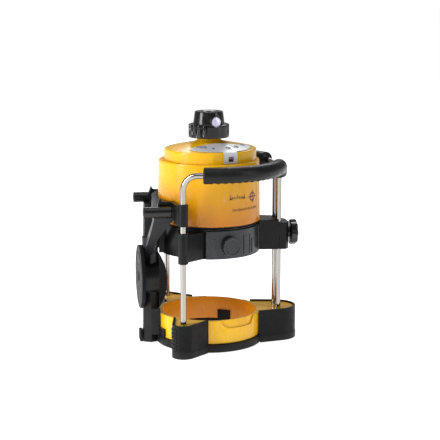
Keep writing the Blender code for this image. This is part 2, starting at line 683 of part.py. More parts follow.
def make_top_cover():
    wall = 2.6 * MM
    eye = 14.5 * MM
    outer = [(eye, cone_height(eye)), (TIER_R - 1.5 * MM, TIER_TOP + 0.3 * MM), (TIER_R, TIER_TOP - 1.2 * MM)]
    outer.append((TIER_R, SHELL_TOP + GAP))
    inner = [(TIER_R - wall, SHELL_TOP + GAP), (TIER_R - wall, TIER_TOP - wall), (eye, cone_height(eye) - wall)]
    cover = turned("top_cover", outer + inner, YELLOW, tier_frame(), steps=40)
    hole = 13 * MM
    root = CONE_TOP - 4.4 * MM
    collar = [(NECK_R, NECK_TOP), (NECK_R + 1.5 * MM, root), (hole, root), (hole, NECK_TOP)]
    cut(cover, turned("join_collar", collar, None, steps=24), join=True)
    cut_button_wells(cover, "cut_cover_", 0.35 * MM)
    window = block("cut_cover_window", (TIER_R - 10 * MM, -4.2 * MM, 261 * MM),
                   (TIER_R + 5 * MM, 4.2 * MM, 269.4 * MM), None, tier_frame() @ side_frame(LASER_FRONT))
    return cut(cover, window)


def make_panel():
    """Label plate on the sloping top, with a tab bent down over the front that frames the sensor window."""
    step = 6
    columns = [-71 + step * i for i in range(21)]
    mesh = bmesh.new()
    grid = []
    lift = 0.45 * MM
    for az in columns:
        share = (az - columns[0]) / (columns[-1] - columns[0])
        inner = (46 - 20 * math.sin(math.pi * min(share * 1.15, 1)) ** 0.6) * MM
        outer = (48.4 + 13.2 * math.sin(math.pi * min(0.04 + share * 0.93, 1)) ** 0.5) * MM
        rows = [tier_point(az, r, cone_height(r) + lift)
                for r in (inner + (outer - inner) * k / 2 for k in range(3))]
        grid.append([mesh.verts.new(p) for p in rows])
    for left, right in zip(grid, grid[1:]):
        for k in range(2):
            mesh.faces.new((left[k], left[k + 1], right[k + 1], right[k]))
    tab = [i for i, az in enumerate(columns) if -24 <= az <= -4]
    previous = [grid[i][2] for i in tab]
    for radius, z in ((TIER_R + lift, 273.9 * MM), (TIER_R + lift, 259.6 * MM)):
        row = [mesh.verts.new(tier_point(columns[i], radius, z)) for i in tab]
        for k in range(len(tab) - 1):
            mesh.faces.new((previous[k], row[k], row[k + 1], previous[k + 1]))
        previous = row
    panel = from_bmesh("control_panel", mesh, LABEL)
    thick = panel.modifiers.new("thickness", "SOLIDIFY")
    thick.thickness = 0.6 * MM
    thick.offset = 1.0
    cut_button_wells(panel, "cut_panel_", 0.3 * MM)
    window = block("cut_panel_window", (TIER_R - 3 * MM, -3.9 * MM, 262 * MM),
                   (TIER_R + 5 * MM, 3.9 * MM, 269 * MM), None, tier_frame() @ side_frame(LASER_FRONT))
    return cut(panel, window)


def make_panel_parts():
    for name, az, radius, size in BUTTONS:
        stretch = 1.45 if name == "button_power" else 1.0
        slab(name, [button_shape(size, stretch)], -2.4 * MM, 1.9 * MM, GREY, cone_frame(az, radius))
    rod("status_led", 1.45 * MM, -2.4 * MM, 1.5 * MM, DARK_WINDOW, cone_frame(*LED), 12)
    block("sensor_window", (TIER_R - 3 * MM, -3.6 * MM, 262.3 * MM), (TIER_R + 0.6 * MM, 3.6 * MM, 268.7 * MM),
          DARK_WINDOW, tier_frame() @ side_frame(LASER_FRONT))


# ---------------------------------------------------------------- inside the laser unit
def make_chassis():
    """Mounting plate for the gimbal on three pillars that stand on the hull's flange."""
    low, high = 243 * MM, 246 * MM
    plate = slab("chassis_frame", [circle(65 * MM, 30), circle(36 * MM, 24)], low, high, ALUMINIUM)
    for i in range(3):
        place = Matrix.Translation(ring_point(30 + 120 * i, 60 * MM))
        pillar = rod("join_pillar_%d" % i, 4 * MM, HULL_TOP + GAP, low + 1 * MM, matrix=place, sides=16)
        cut(plate, pillar, join=True)
    for side, name in ((1, "right"), (-1, "left")):
        low_corner = (36.5 * MM, -5 * MM, high - 1 * MM)
        cheek = block("join_bearing_" + name, low_corner, (41 * MM, 5 * MM, PIVOT_Z + 5 * MM), None,
                      side_frame(90 * side))
        cut(plate, cheek, join=True)
        cut(plate, rod("cut_bearing_" + name, 2.2 * MM, 30 * MM, 50 * MM, matrix=outward_frame(90 * side, 0, PIVOT_Z),
                       sides=16))
    board = [circle(55 * MM, 32), circle(24 * MM, 24)]
    slab("main_board", board, 179 * MM, 180.6 * MM, BOARD)
    for name, az in (("tilt_motor_x", 0), ("tilt_motor_y", 90)):
        place = Matrix.Translation(ring_point(az, 48 * MM))
        rod(name, 7 * MM, 216 * MM, low - GAP, STEEL, place, 20)


def make_gimbal():
    """Gimbal ring on two trunnions in the chassis, and the spindle frame on two trunnions in the ring."""
    low, high = PIVOT_Z - 4 * MM, PIVOT_Z + 4 * MM
    ring = slab("gimbal_ring", [circle(34 * MM, 32), circle(30 * MM, 32)], low, high, ALUMINIUM)
    for side, name in ((1, "right"), (-1, "left")):
        axis = outward_frame(90 * side, 0, PIVOT_Z)
        cut(ring, rod("join_trunnion_" + name, 2.15 * MM, 33 * MM, 40 * MM, matrix=axis, sides=16), join=True)
    for az, name in ((0, "front"), (180, "rear")):
        axis = outward_frame(az, 0, PIVOT_Z)
        cut(ring, rod("cut_trunnion_" + name, 2.2 * MM, 25 * MM, 40 * MM, matrix=axis, sides=16))
    frame_loops = [circle(26.5 * MM, 32), circle(8.3 * MM, 24), circle(5.8 * MM, 20, (GEAR_DISTANCE, 0))]
    frame = slab("spindle_frame", frame_loops, PIVOT_Z - 3 * MM, PIVOT_Z + 3 * MM, ALUMINIUM)
    for az, name in ((0, "front"), (180, "rear")):
        axis = outward_frame(az, 0, PIVOT_Z)
        cut(frame, rod("join_pin_" + name, 2.15 * MM, 25 * MM, 33 * MM, matrix=axis, sides=16), join=True)
    top = PIVOT_Z + 2.5 * MM
    bearing = [(8 * MM, top), (8 * MM, top - 5 * MM), (5.8 * MM, top - 5 * MM), (5.8 * MM, top)]
    turned("rotor_bearing", bearing, STEEL, steps=24)
    barrel = [(7 * MM, PIVOT_Z - 3.4 * MM), (7 * MM, 196 * MM), (5 * MM, 196 * MM), (5 * MM, PIVOT_Z - 3.4 * MM)]
    turned("laser_barrel", barrel, BRASS, steps=24)
    motor = Matrix.Translation((GEAR_DISTANCE, 0, 0))
    rod("drive_motor", 5.5 * MM, 232 * MM, PIVOT_Z + 3 * MM, STEEL, motor, 20)


def gear_outline(teeth, turn):
    """Spur gear outline with straight-sided teeth and ample backlash."""
    pitch = teeth * GEAR_MODULE / 2
    points = []
    shape = ((-0.27, -1.05), (-0.10, 0.75), (0.10, 0.75), (0.27, -1.05))
    for i in range(teeth):
        for offset, height in shape:
            angle = 2 * math.pi * (i + offset) / teeth + turn
            radius = pitch + height * GEAR_MODULE
            points.append((radius * math.cos(angle), radius * math.sin(angle)))
    return points


def make_drive():
    gear_low, gear_high = 262 * MM, 265 * MM
    shaft_r = 5.5 * MM
    driven = [gear_outline(GEAR_TEETH, 0), circle(shaft_r + GAP, 24)]
    slab("driven_gear", driven, gear_low, gear_high, GEAR_WHITE)
    half_tooth = math.pi / PINION_TEETH
    slab("drive_pinion", [gear_outline(PINION_TEETH, math.pi + half_tooth)], PIVOT_Z + 3.4 * MM, gear_high, BRASS,
         Matrix.Translation((GEAR_DISTANCE, 0, 0)))
    shaft_low = PIVOT_Z - 2.8 * MM
    shaft = [(3.5 * MM, 296.5 * MM), (shaft_r, 296.5 * MM), (shaft_r, shaft_low), (3.5 * MM, shaft_low)]
    turned("rotor_shaft", shaft, STEEL, steps=24)


def make_head():
    seat = outward_frame(WINDOW_AZ, 0, WINDOW_Z)
    outer = [(6 * MM, HEAD_TOP), (CAP_R - 1 * MM, HEAD_TOP), (CAP_R, HEAD_TOP - 1 * MM), (DRUM_R, SKIRT_TOP + 0.6 * MM)]
    outer += [(SKIRT_R - 0.8 * MM, SKIRT_TOP), (SKIRT_R, SKIRT_TOP - 0.8 * MM), (SKIRT_R, HEAD_LOW)]
    inner = [(SKIRT_R - 2.4 * MM, HEAD_LOW), (SKIRT_R - 2.4 * MM, SKIRT_TOP - 3 * MM), (18.6 * MM, SKIRT_TOP - 3 * MM)]
    inner += [(17.4 * MM, HEAD_TOP - 2.4 * MM), (6 * MM, HEAD_TOP - 2.4 * MM)]
    head = turned("rotor_shell", outer + inner, BLACK, steps=30)
    cut(head, rod("join_window_hood", 9.2 * MM, 18.2 * MM, 24.5 * MM, matrix=seat, sides=20), join=True)
    cut(head, rod("cut_window_hood", 7.4 * MM, 10 * MM, 30 * MM, matrix=seat, sides=20))
    lens = [(0, 23.2 * MM), (6.4 * MM, 23.0 * MM), (7.0 * MM, 22.6 * MM), (7.0 * MM, 20.2 * MM), (0, 20.2 * MM)]
    turned("rotor_window", lens, GLASS, seat, 20, False)
    hub = [(3.6 * MM, 301 * MM), (24 * MM, 301 * MM), (24 * MM, 298.4 * MM), (10 * MM, 298.4 * MM)]
    hub += [(10 * MM, 293 * MM), (5.8 * MM, 293 * MM), (5.8 * MM, 297 * MM), (3.6 * MM, 297 * MM)]
    turned("rotor_hub", hub, ALUMINIUM, steps=24)
    size = 9 * MM
    faces = [(-size, -size), (size, -size), (size, size * 0.4), (-size * 0.2, size), (-size, size * 0.4)]
    upright = side_frame(WINDOW_AZ, 0, WINDOW_Z) @ Matrix.Rotation(math.radians(90), 4, "X")
    slab("penta_prism", [faces], -7 * MM, 7 * MM, GLASS, upright)


def main():
    make_base_ring()
    make_base_band()
    make_boot("boot_front_left", FRONT_LEFT)
    make_boot("boot_right", RIGHT)
    make_boot("boot_rear_left", REAR_LEFT)
    make_ring_pads()
    make_bail_and_grip("front", FRONT_LEFT, RIGHT - SPLIT_AZ)
    make_bail_and_grip("rear", RIGHT + SPLIT_AZ, REAR_LEFT)
    make_support_yoke()
    make_pegs()
    make_support_column()
    make_disc_parts()
    make_arm("carrier_arm_front", FRONT_LEFT)
    make_arm("carrier_arm_rear", REAR_LEFT)
    make_clamp()
    make_hull()
    make_battery_door()
    make_batteries()
    make_seal()
    make_shell()
    make_top_cover()
    make_panel()
    make_panel_parts()
    make_chassis()
    make_gimbal()
    make_drive()
    make_head()


main()
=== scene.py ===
"""Rotating laser level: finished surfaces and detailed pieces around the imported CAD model."""
import json
import math

import bmesh
import bpy
from mathutils import Matrix, Vector


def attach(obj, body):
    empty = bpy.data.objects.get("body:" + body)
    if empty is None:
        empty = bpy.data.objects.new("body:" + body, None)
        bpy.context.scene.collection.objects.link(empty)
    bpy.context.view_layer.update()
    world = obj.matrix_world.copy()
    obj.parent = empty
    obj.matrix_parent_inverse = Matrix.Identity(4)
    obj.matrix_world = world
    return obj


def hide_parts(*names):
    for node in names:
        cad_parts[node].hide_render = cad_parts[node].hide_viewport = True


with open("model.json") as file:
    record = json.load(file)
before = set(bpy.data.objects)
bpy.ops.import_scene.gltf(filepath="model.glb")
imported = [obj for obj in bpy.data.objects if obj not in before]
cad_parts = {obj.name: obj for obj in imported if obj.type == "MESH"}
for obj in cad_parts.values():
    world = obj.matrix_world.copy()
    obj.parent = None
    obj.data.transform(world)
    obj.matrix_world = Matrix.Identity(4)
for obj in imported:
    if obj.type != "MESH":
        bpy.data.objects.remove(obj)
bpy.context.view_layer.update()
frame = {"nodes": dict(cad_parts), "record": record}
RECORD = frame["record"]
NODES = frame["nodes"]
SLOT_OF = {entry["node"]: entry["material_slot"] for entry in RECORD["subparts"]}
BODY_OF = {node: body for body, members in RECORD["behaviour"]["bodies"].items() for node in members}

MM = 0.001
FRONT_LEFT, RIGHT, REAR_LEFT, SUPPORT_SIDE = -60, 60, 180, -120

# driving sizes, the same as the model's own
POST_CIRCLE = 97 * MM
POST_SPLIT = 11.5 * MM
SPLIT_AZ = math.degrees(math.atan(POST_SPLIT / POST_CIRCLE))
TUBE_R = 4 * MM
TUBE_FOOT = 18 * MM
BAIL_TOP = 249 * MM
BEND_R = 21 * MM
GRIP_R = 11.3 * MM
GRIP_START = 28 * MM
RING_OUT = 72 * MM
BASE_TOP = 44 * MM
SHELL_LOW = 174.4 * MM
SHELL_TOP = 258.6 * MM
SHELL_R_LOW = 71.9 * MM
SHELL_R_TOP = 70.1 * MM
TIER_R = 64 * MM
TIER_SHIFT = 1.8 * MM
TIER_SHIFT_AZ = 45
TIER_TOP = 274 * MM
NECK_R = 17.3 * MM
CONE_SLOPE = 9.5 * MM / (TIER_R - NECK_R)
NECK_TOP = 288.4 * MM
HEAD_LOW = 289 * MM
SKIRT_TOP = 307 * MM
HEAD_TOP = 324.5 * MM
SKIRT_R = 28.2 * MM
DRUM_R = 21.8 * MM
CAP_R = 19.7 * MM
WINDOW_AZ = -12
WINDOW_Z = 311 * MM
LASER_FRONT = -13.5
WALL = 2.6 * MM
COVER_LOW = 258.9 * MM
DISC_Z = 94 * MM
DISC_R = 44.5 * MM
DISC_FACE = 99.5 * MM
THREAD_R = 7.94 * MM
THREAD_PITCH = 25.4 / 11 * MM
THREAD_SIDES = 48
DOOR_R = 71 * MM
HULL_LOW = 130 * MM
HULL_THREAD_TOP = 141 * MM
LOCK_AZ = -15
LOCK_Z = 148 * MM
CLAMP_Z = 151 * MM
# each key's node, azimuth, distance from the tier's axis, half width and stretch along the panel
BUTTONS = (("button_power", -55, 43.5 * MM, 5.0 * MM, 1.45), ("button_slope", -9, 48 * MM, 3.6 * MM, 1.0),
           ("button_scan", 11, 46 * MM, 3.6 * MM, 1.0), ("button_speed", 35, 45 * MM, 3.6 * MM, 1.0))
SHADE_ANGLE = 35

# the camera, which looks at AIM, and its lens in millimetres
CAMERA_AZ = -39.31
CAMERA_RISE = 10.88
CAMERA_REACH = 1.815
CAMERA_LENS = 105.96
CAMERA_SENSOR = 36
CAMERA_SHIFT = (0.0253, -0.0004)
AIM = Vector((0, 0, 0.1716))
WORLD_STRENGTH = 0.22


# ---------------------------------------------------------------- places
def ring_point(az, radius, z=0.0):
    """Point at an azimuth from the front, at a distance from the head's axis."""
    turn = math.radians(az)
    return Vector((radius * math.sin(turn), -radius * math.cos(turn), z))


def side_frame(az, offset=0.0, z=0.0):
    """Frame whose +X points outwards at an azimuth."""
    return Matrix.Translation(ring_point(az, offset, z)) @ Matrix.Rotation(math.radians(az - 90), 4, "Z")


def outward_frame(az, offset, z):
    """Frame whose +Z points outwards at an azimuth, and whose +Y points up."""
    turned = Matrix(((0, 0, 1), (1, 0, 0), (0, 1, 0))).to_4x4()
    return side_frame(az, offset, z) @ turned


def tier_frame():
    """Frame on the axis of the raised tier, which stands off the head's axis."""
    return Matrix.Translation(ring_point(TIER_SHIFT_AZ, TIER_SHIFT))


def cone_height(radius):
    """Height of the sloping top at a distance from the tier's axis."""
    return TIER_TOP + (TIER_R - radius) * CONE_SLOPE


def cone_frame(az, radius):
    """Frame on the sloping top whose local +Z is its outward normal."""
    tilt = Matrix.Rotation(math.atan(CONE_SLOPE), 4, "Y")
    return tier_frame() @ side_frame(az, radius, cone_height(radius)) @ tilt


# ---------------------------------------------------------------- materials
def linear(red, green, blue):
    """Linear colour from the 0-255 values of a screen."""
    shares = [value / 255 for value in (red, green, blue)]
    return tuple(((c + 0.055) / 1.055) ** 2.4 if c > 0.04 else c / 12.92 for c in shares)


class Look:
    """A Principled material, wired up a node at a time in object space."""

    def __init__(self, name, roughness=0.5, metallic=0.0, coat=0.0, specular=0.5):
        self.material = bpy.data.materials.new(name)
        self.material.use_nodes = True
        self.nodes = self.material.node_tree.nodes
        self.links = self.material.node_tree.links
        self.shader = self.nodes["Principled BSDF"]
        self.set("Roughness", roughness)
        self.set("Metallic", metallic)
        self.set("Coat Weight", coat)
        self.set("Coat Roughness", 0.08)
        self.set("Specular IOR Level", specular)
        self.place = self.nodes.new("ShaderNodeTexCoord").outputs["Object"]

    def set(self, socket, value):
        self.shader.inputs[socket].default_value = value

    def feed(self, socket, output):
        self.links.new(output, self.shader.inputs[socket])

    def stretched(self, scale):
        """Object space, scaled along each axis."""
        mapping = self.nodes.new("ShaderNodeMapping")
        mapping.inputs["Scale"].default_value = scale
        self.links.new(self.place, mapping.inputs["Vector"])
        return mapping.outputs["Vector"]

    def noise(self, scale, detail=3.0, stretch=None):
        node = self.nodes.new("ShaderNodeTexNoise")
        node.inputs["Scale"].default_value = scale
        node.inputs["Detail"].default_value = detail
        self.links.new(self.stretched(stretch) if stretch else self.place, node.inputs["Vector"])
        return node.outputs["Fac"]

    def cells(self, scale):
        node = self.nodes.new("ShaderNodeTexVoronoi")
        node.inputs["Scale"].default_value = scale
        self.links.new(self.place, node.inputs["Vector"])
        return node.outputs["Distance"]

    def height(self):
        """Height above the floor, in metres."""
        node = self.nodes.new("ShaderNodeSeparateXYZ")
        self.links.new(self.place, node.inputs["Vector"])
        return node.outputs["Z"]

    def off_axis(self):
        """Distance from the head's axis, in metres."""
        flat = self.stretched((1, 1, 0))
        node = self.nodes.new("ShaderNodeVectorMath")
        node.operation = "LENGTH"
        self.links.new(flat, node.inputs[0])
        return node.outputs["Value"]

    def edges(self, radius, amount):
        """From 0 on open faces up to amount within a radius of an edge."""
        rounded = self.nodes.new("ShaderNodeBevel")
        rounded.samples = 4
        rounded.inputs["Radius"].default_value = radius
        node = self.nodes.new("ShaderNodeVectorMath")
        node.operation = "DOT_PRODUCT"
        self.links.new(rounded.outputs["Normal"], node.inputs[0])
        self.links.new(self.nodes.new("ShaderNodeNewGeometry").outputs["Normal"], node.inputs[1])
        return self.fit(node.outputs["Value"], 0.84, 0.985, amount, 0)

    def fit(self, output, low, high, to_low, to_high):
        """Output mapped from low..high to to_low..to_high, and clamped."""
        node = self.nodes.new("ShaderNodeMapRange")
        for socket, value in zip(("From Min", "From Max", "To Min", "To Max"), (low, high, to_low, to_high)):
            node.inputs[socket].default_value = value
        self.links.new(output, node.inputs["Value"])
        return node.outputs["Result"]

    def blend(self, factor, first, second):
        """Colour between two others; each is a colour or another node's output."""
        node = self.nodes.new("ShaderNodeMix")
        node.data_type = "RGBA"
        self.links.new(factor, node.inputs["Factor"])
        for socket, value in (("A", first), ("B", second)):
            target = [s for s in node.inputs if s.name == socket and s.type == "RGBA"][0]
            if isinstance(value, tuple):
                target.default_value = (*value, 1)
            else:
                self.links.new(value, target)
        return [s for s in node.outputs if s.type == "RGBA"][0]

    def bump(self, height, strength, distance=0.2 * MM):
        """Adds a bump on top of any the material has."""
        node = self.nodes.new("ShaderNodeBump")
        node.inputs["Strength"].default_value = strength
        node.inputs["Distance"].default_value = distance
        self.links.new(height, node.inputs["Height"])
        if self.shader.inputs["Normal"].is_linked:
            self.links.new(self.shader.inputs["Normal"].links[0].from_socket, node.inputs["Normal"])
        self.feed("Normal", node.outputs["Normal"])


def gloss_plastic(name, colour, shade, foot=None, bore=None):
    """Glossy moulding: faint flow marks in the colour, a hairline orange peel and a few handling scuffs. Its
    colour may deepen to foot towards the housing's lower edge, as painted shade, or to bore inside the base
    ring, as painted shade and painted reflected light from its yellow walls."""
    look = Look(name, 0.28, coat=0.2, specular=0.3)
    flow = look.fit(look.noise(16, 3), 0.35, 0.7, 0, 1)
    scuffs = look.fit(look.noise(220, 6, (1, 1, 0.25)), 0.66, 0.74, 0, 0.35)
    body = look.blend(flow, colour, shade)
    # painted shade: the colour darkens and turns orange towards the housing's lower edge
    if foot:
        body = look.blend(look.fit(look.height(), SHELL_LOW, 250 * MM, 0, 1), foot, body)
    # painted shade and painted reflected light: deeper orange inside the base ring's bore
    if bore:
        body = look.blend(look.fit(look.off_axis(), 67 * MM, 67.6 * MM, 0, 1), bore, body)
    look.feed("Base Color", look.blend(scuffs, body, tuple(c * 0.6 + 0.3 for c in shade)))
    look.feed("Roughness", look.fit(look.noise(60, 4), 0.3, 0.7, 0.2, 0.34))
    look.bump(look.noise(330, 2), 0.05)
    return look.material


def satin_plastic(name, colour, roughness=0.42, grain=0.25, wear_and_edge_highlight=0.008, specular=0.3, foot=None):
    """Spark-eroded satin moulding with a fine grain and lighter rubbed patches. Near the floor it may turn
    into another colour, foot, a darker one as painted shade. Its edges may be lighter, partly as edge wear and
    partly as painted highlight."""
    look = Look(name, roughness, specular=specular)
    rubbed = look.fit(look.noise(38, 6), 0.52, 0.78, 0, 1)
    light = tuple(min(1, c * 1.35 + wear_and_edge_highlight) for c in colour)
    specks = look.fit(look.noise(900, 2), 0.62, 0.75, 0, 0.35)
    body = look.blend(rubbed, colour, light)
    # painted shade: below a set height the colour turns darker
    if foot:
        body = look.blend(look.fit(look.height(), 118 * MM, 128 * MM, 0, 1), foot, body)
    body = look.blend(specks, body, light)
    # lighter edges: partly edge wear, partly painted highlight
    if wear_and_edge_highlight:
        body = look.blend(look.edges(1.1 * MM, 0.6), body, tuple(c * 2.2 + 0.012 for c in colour))
    look.feed("Base Color", body)
    look.feed("Roughness", look.fit(look.noise(90, 3), 0.3, 0.7, roughness - 0.07, roughness + 0.09))
    look.bump(look.cells(1500), grain, 0.05 * MM)
    return look.material


def moulded_rubber(name, colour, roughness=0.6, dust=0.5, floor_dust=True):
    """Rubber with a matt grain, pale dust in its hollows and more of it close to the floor, and edges lighter
    partly as wear and partly as painted highlight.
    """
    look = Look(name, roughness, specular=0.17)
    dusty = look.fit(look.noise(75, 8), 0.5, 0.8, 0, dust)
    body = look.blend(dusty, colour, tuple(c * 1.8 + 0.006 for c in colour))
    if floor_dust:
        low = look.fit(look.height(), 0.0, 12 * MM, 0.3, 0)
        body = look.blend(low, body, (0.05, 0.048, 0.045))
    # lighter edges: partly edge wear, partly painted highlight
    look.feed("Base Color", look.blend(look.edges(1.4 * MM, 0.7), body, tuple(c * 3 + 0.018 for c in colour)))
    look.feed("Roughness", look.fit(look.noise(140, 4), 0.3, 0.7, roughness - 0.1, roughness + 0.1))
    look.bump(look.noise(1300, 3), 0.3, 0.05 * MM)
    return look.material


def metal(name, colour, roughness, stretch, depth=0.05):
    """Metal with drawn or turned marks along one direction."""
    look = Look(name, roughness, metallic=1.0)
    marks = look.noise(240, 5, stretch)
    look.feed("Base Color", look.blend(look.fit(marks, 0.3, 0.7, 0, 1), colour, tuple(c * 0.82 for c in colour)))
    look.feed("Roughness", look.fit(look.noise(55, 4), 0.3, 0.75, roughness * 0.75, roughness * 1.5))
    look.bump(marks, depth, 0.05 * MM)
    return look.material


def polished_tube():
    """Polished stainless tube: drawn marks along it, a warm cast and flanks darkened as painted shade."""
    look = Look("tube_polished", 0.15, metallic=1.0)
    facing = look.nodes.new("ShaderNodeLayerWeight")
    facing.inputs["Blend"].default_value = 0.5
    marks = look.noise(240, 5, (1, 1, 0.03))
    front = look.blend(look.fit(marks, 0.3, 0.7, 0, 1), (0.41, 0.39, 0.365), (0.33, 0.31, 0.29))
    # painted shade: the colour darkens where the tube turns away from the view
    painted_flank_shade = look.fit(facing.outputs["Facing"], 0.3, 0.85, 0, 1)
    look.feed("Base Color", look.blend(painted_flank_shade, front, (0.085, 0.08, 0.08)))
    look.feed("Roughness", look.fit(look.noise(55, 4), 0.3, 0.75, 0.11, 0.22))
    look.bump(marks, 0.05, 0.05 * MM)
    return look.material


def printed_label():
    """Silver-grey foil label with a fine metallic flake."""
    look = Look("label_foil", 0.36, metallic=0.25, coat=0.2)
    flake = look.fit(look.noise(2200, 1), 0.4, 0.6, 0, 1)
    look.feed("Base Color", look.blend(flake, linear(212, 213, 214), linear(196, 198, 201)))
    look.bump(look.noise(700, 2), 0.08, 0.05 * MM)
    return look.material


def lens_glass():
    """Coated window: pale lilac face with a cooler, deeper middle, and a faint painted glow of the same tint."""
    look = Look("lens_coated", 0.06, coat=1.0, specular=0.8)
    ball = look.nodes.new("ShaderNodeVectorMath")
    ball.operation = "DISTANCE"
    ball.inputs[1].default_value = ring_point(WINDOW_AZ - 4, 22.5 * MM, WINDOW_Z - 0.5 * MM)
    look.links.new(look.place, ball.inputs[0])
    rim = look.fit(ball.outputs["Value"], 1.8 * MM, 5.5 * MM, 0, 1)
    tint_and_painted_glow = look.blend(rim, linear(178, 176, 222), linear(236, 232, 250))
    look.feed("Base Color", tint_and_painted_glow)
    # painted glow: the window gives off its own tint, though it is no lamp
    look.feed("Emission Color", tint_and_painted_glow)
    look.set("Emission Strength", 0.22)
    look.bump(look.noise(60, 1), 0.02)
    return look.material


def circuit_board():
    """Green board with paler tracks that run one way."""
    look = Look("circuit_board", 0.35, coat=0.4)
    tracks = look.fit(look.noise(160, 1, (1, 0.12, 1)), 0.5, 0.53, 0, 1)
    look.feed("Base Color", look.blend(tracks, (0.012, 0.085, 0.035), (0.03, 0.17, 0.07)))
    look.bump(tracks, 0.2, 0.05 * MM)
    return look.material


def dark_window():
    """Smoked filter with a faint red cast, as over a detector."""
    look = Look("window_smoked", 0.1, coat=1.0)
    cast = look.fit(look.noise(90, 2), 0.35, 0.65, 0, 1)
    look.feed("Base Color", look.blend(cast, (0.035, 0.008, 0.011), (0.075, 0.022, 0.024)))
    look.bump(look.noise(400, 1), 0.03)
    return look.material


# its bore colour is painted shade and painted reflected light inside the base ring
YELLOW = gloss_plastic("base_yellow", linear(243, 190, 16), linear(234, 171, 11), bore=linear(232, 148, 22))
# its last colour is painted shade on the housing's lower part
HOUSING = gloss_plastic("housing_yellow", linear(235, 183, 13), linear(226, 166, 9), linear(194, 115, 8))
BLACK = satin_plastic("moulded_black", (0.0042, 0.0044, 0.005), 0.36, 0.2, 0.003, 0.2)
SLATE = satin_plastic("moulded_slate", (0.0125, 0.0135, 0.0165), 0.36)
# the darker foot colour is painted shade on the column's lower part
FORKED = satin_plastic("moulded_forked", (0.0125, 0.0135, 0.0165), 0.38, foot=(0.0035, 0.0037, 0.0043))
DISC_GREY = satin_plastic("moulded_grey", (0.0085, 0.0095, 0.0122), 0.44, 0.35, specular=0.06)
DOOR_SLATE = satin_plastic("door_slate", (0.0125, 0.0145, 0.019), 0.27, 0.15, specular=0.45)
HEAD_BLACK = satin_plastic("head_black", (0.0055, 0.0056, 0.006), 0.2, 0.08, 0.004, 0.45)
RUBBER = moulded_rubber("boot_rubber", (0.004, 0.0042, 0.0047), 0.5, 0.3)
GRIP_RUBBER = moulded_rubber("grip_rubber", (0.0105, 0.0107, 0.0112), 0.34, 0.3, False)
STEEL = polished_tube()
TURNED_STEEL = metal("steel_turned", (0.58, 0.58, 0.58), 0.24, (0.05, 0.05, 1))
ALUMINIUM = metal("aluminium_machined", (0.72, 0.73, 0.74), 0.32, (1, 0.05, 1), 0.12)
BLACKENED = metal("steel_blackened", (0.05, 0.05, 0.055), 0.35, (0.05, 0.05, 1), 0.1)
BRASS = metal("brass_turned", (0.72, 0.50, 0.20), 0.26, (0.05, 0.05, 1), 0.12)
LABEL = printed_label()
KEY = satin_plastic("key_membrane", linear(160, 164, 170), 0.4, 0.1, 0.0)
INK = satin_plastic("print_ink", (0.012, 0.012, 0.014), 0.5, 0.1, 0.0)
LENS = lens_glass()
SMOKED = dark_window()
BOARD = circuit_board()
CELL = gloss_plastic("battery_sleeve", (0.05, 0.052, 0.06), (0.085, 0.085, 0.095))
GEAR = satin_plastic("gear_acetal", (0.62, 0.60, 0.53), 0.38, 0.1, 0.0)
LOOK_OF = {"yellow": YELLOW, "black": BLACK, "grey": DISC_GREY, "rubber": RUBBER, "steel": TURNED_STEEL,
           "aluminium": ALUMINIUM, "brass": BRASS, "label": LABEL, "glass": LENS, "window": SMOKED,
           "board": BOARD, "cell": CELL, "gear": GEAR}


# ---------------------------------------------------------------- mesh helpers
def tool(name, mesh, matrix=None):
    """Bare object from a bmesh: the start of a piece, or a cutter that boolean() removes again."""
    if matrix is not None:
        mesh.transform(matrix)
    bmesh.ops.recalc_face_normals(mesh, faces=mesh.faces)
    data = bpy.data.meshes.new(name)
    mesh.to_mesh(data)
    mesh.free()
    obj = bpy.data.objects.new(name, data)
    bpy.context.scene.collection.objects.link(obj)
    return obj


def piece(name, mesh, material, node, matrix=None, angle=SHADE_ANGLE, stands_for=()):
    """New object from a bmesh, riding on the body of a CAD node."""
    obj = tool(name, mesh, matrix)
    obj.data.materials.append(material)
    shade(obj.data, angle)
    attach(obj, BODY_OF[node])
    if stands_for:
        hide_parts(*stands_for)
    return obj


def shade(data, angle):
    """Smooth shading, except across edges sharper than an angle."""
    for polygon in data.polygons:
        polygon.use_smooth = True
    data.set_sharp_from_angle(angle=math.radians(angle))


def apply_modifiers(obj):
    """Turns an object's modifiers into its mesh."""
    graph = bpy.context.evaluated_depsgraph_get()
    data = bpy.data.meshes.new_from_object(obj.evaluated_get(graph))
    obj.modifiers.clear()
    obj.data = data


def edged(obj, width, segments=2, angle=30):
    """Rounds an object's edges, and keeps its flat faces flat."""
    rounding = obj.modifiers.new("edges", "BEVEL")
    rounding.width = width
    rounding.segments = segments
    rounding.limit_method = "ANGLE"
    rounding.angle_limit = math.radians(angle)
    rounding.harden_normals = True
    apply_modifiers(obj)


def finished(node, material=None, width=0.6 * MM, angle=30, segments=2):
    """Stand-in for a CAD node with the same shape and rounded edges."""
    mesh = bmesh.new()
    mesh.from_mesh(NODES[node].data)
    bmesh.ops.remove_doubles(mesh, verts=mesh.verts, dist=0.01 * MM)
    bmesh.ops.dissolve_limit(mesh, angle_limit=math.radians(1), verts=mesh.verts, edges=mesh.edges)
    obj = piece(node + ".finished", mesh, material or LOOK_OF[SLOT_OF[node]], node, stands_for=(node,))
    edged(obj, width, segments, angle)


def carry(node, material=None):
    """A CAD node that stays as it is, in its finished material."""
    data = NODES[node].data
    data.materials.clear()
    data.materials.append(material or LOOK_OF[SLOT_OF[node]])


def boolean(target, cutters, operation="DIFFERENCE"):
    """Cuts tools out of a piece, or joins them to it, and removes the tools."""
    for cutter in cutters:
        step = target.modifiers.new("shape", "BOOLEAN")
        step.operation = operation
        step.solver = "EXACT"
        step.object = cutter
    apply_modifiers(target)
    for cutter in cutters:
        bpy.data.objects.remove(cutter)
    shade(target.data, SHADE_ANGLE)


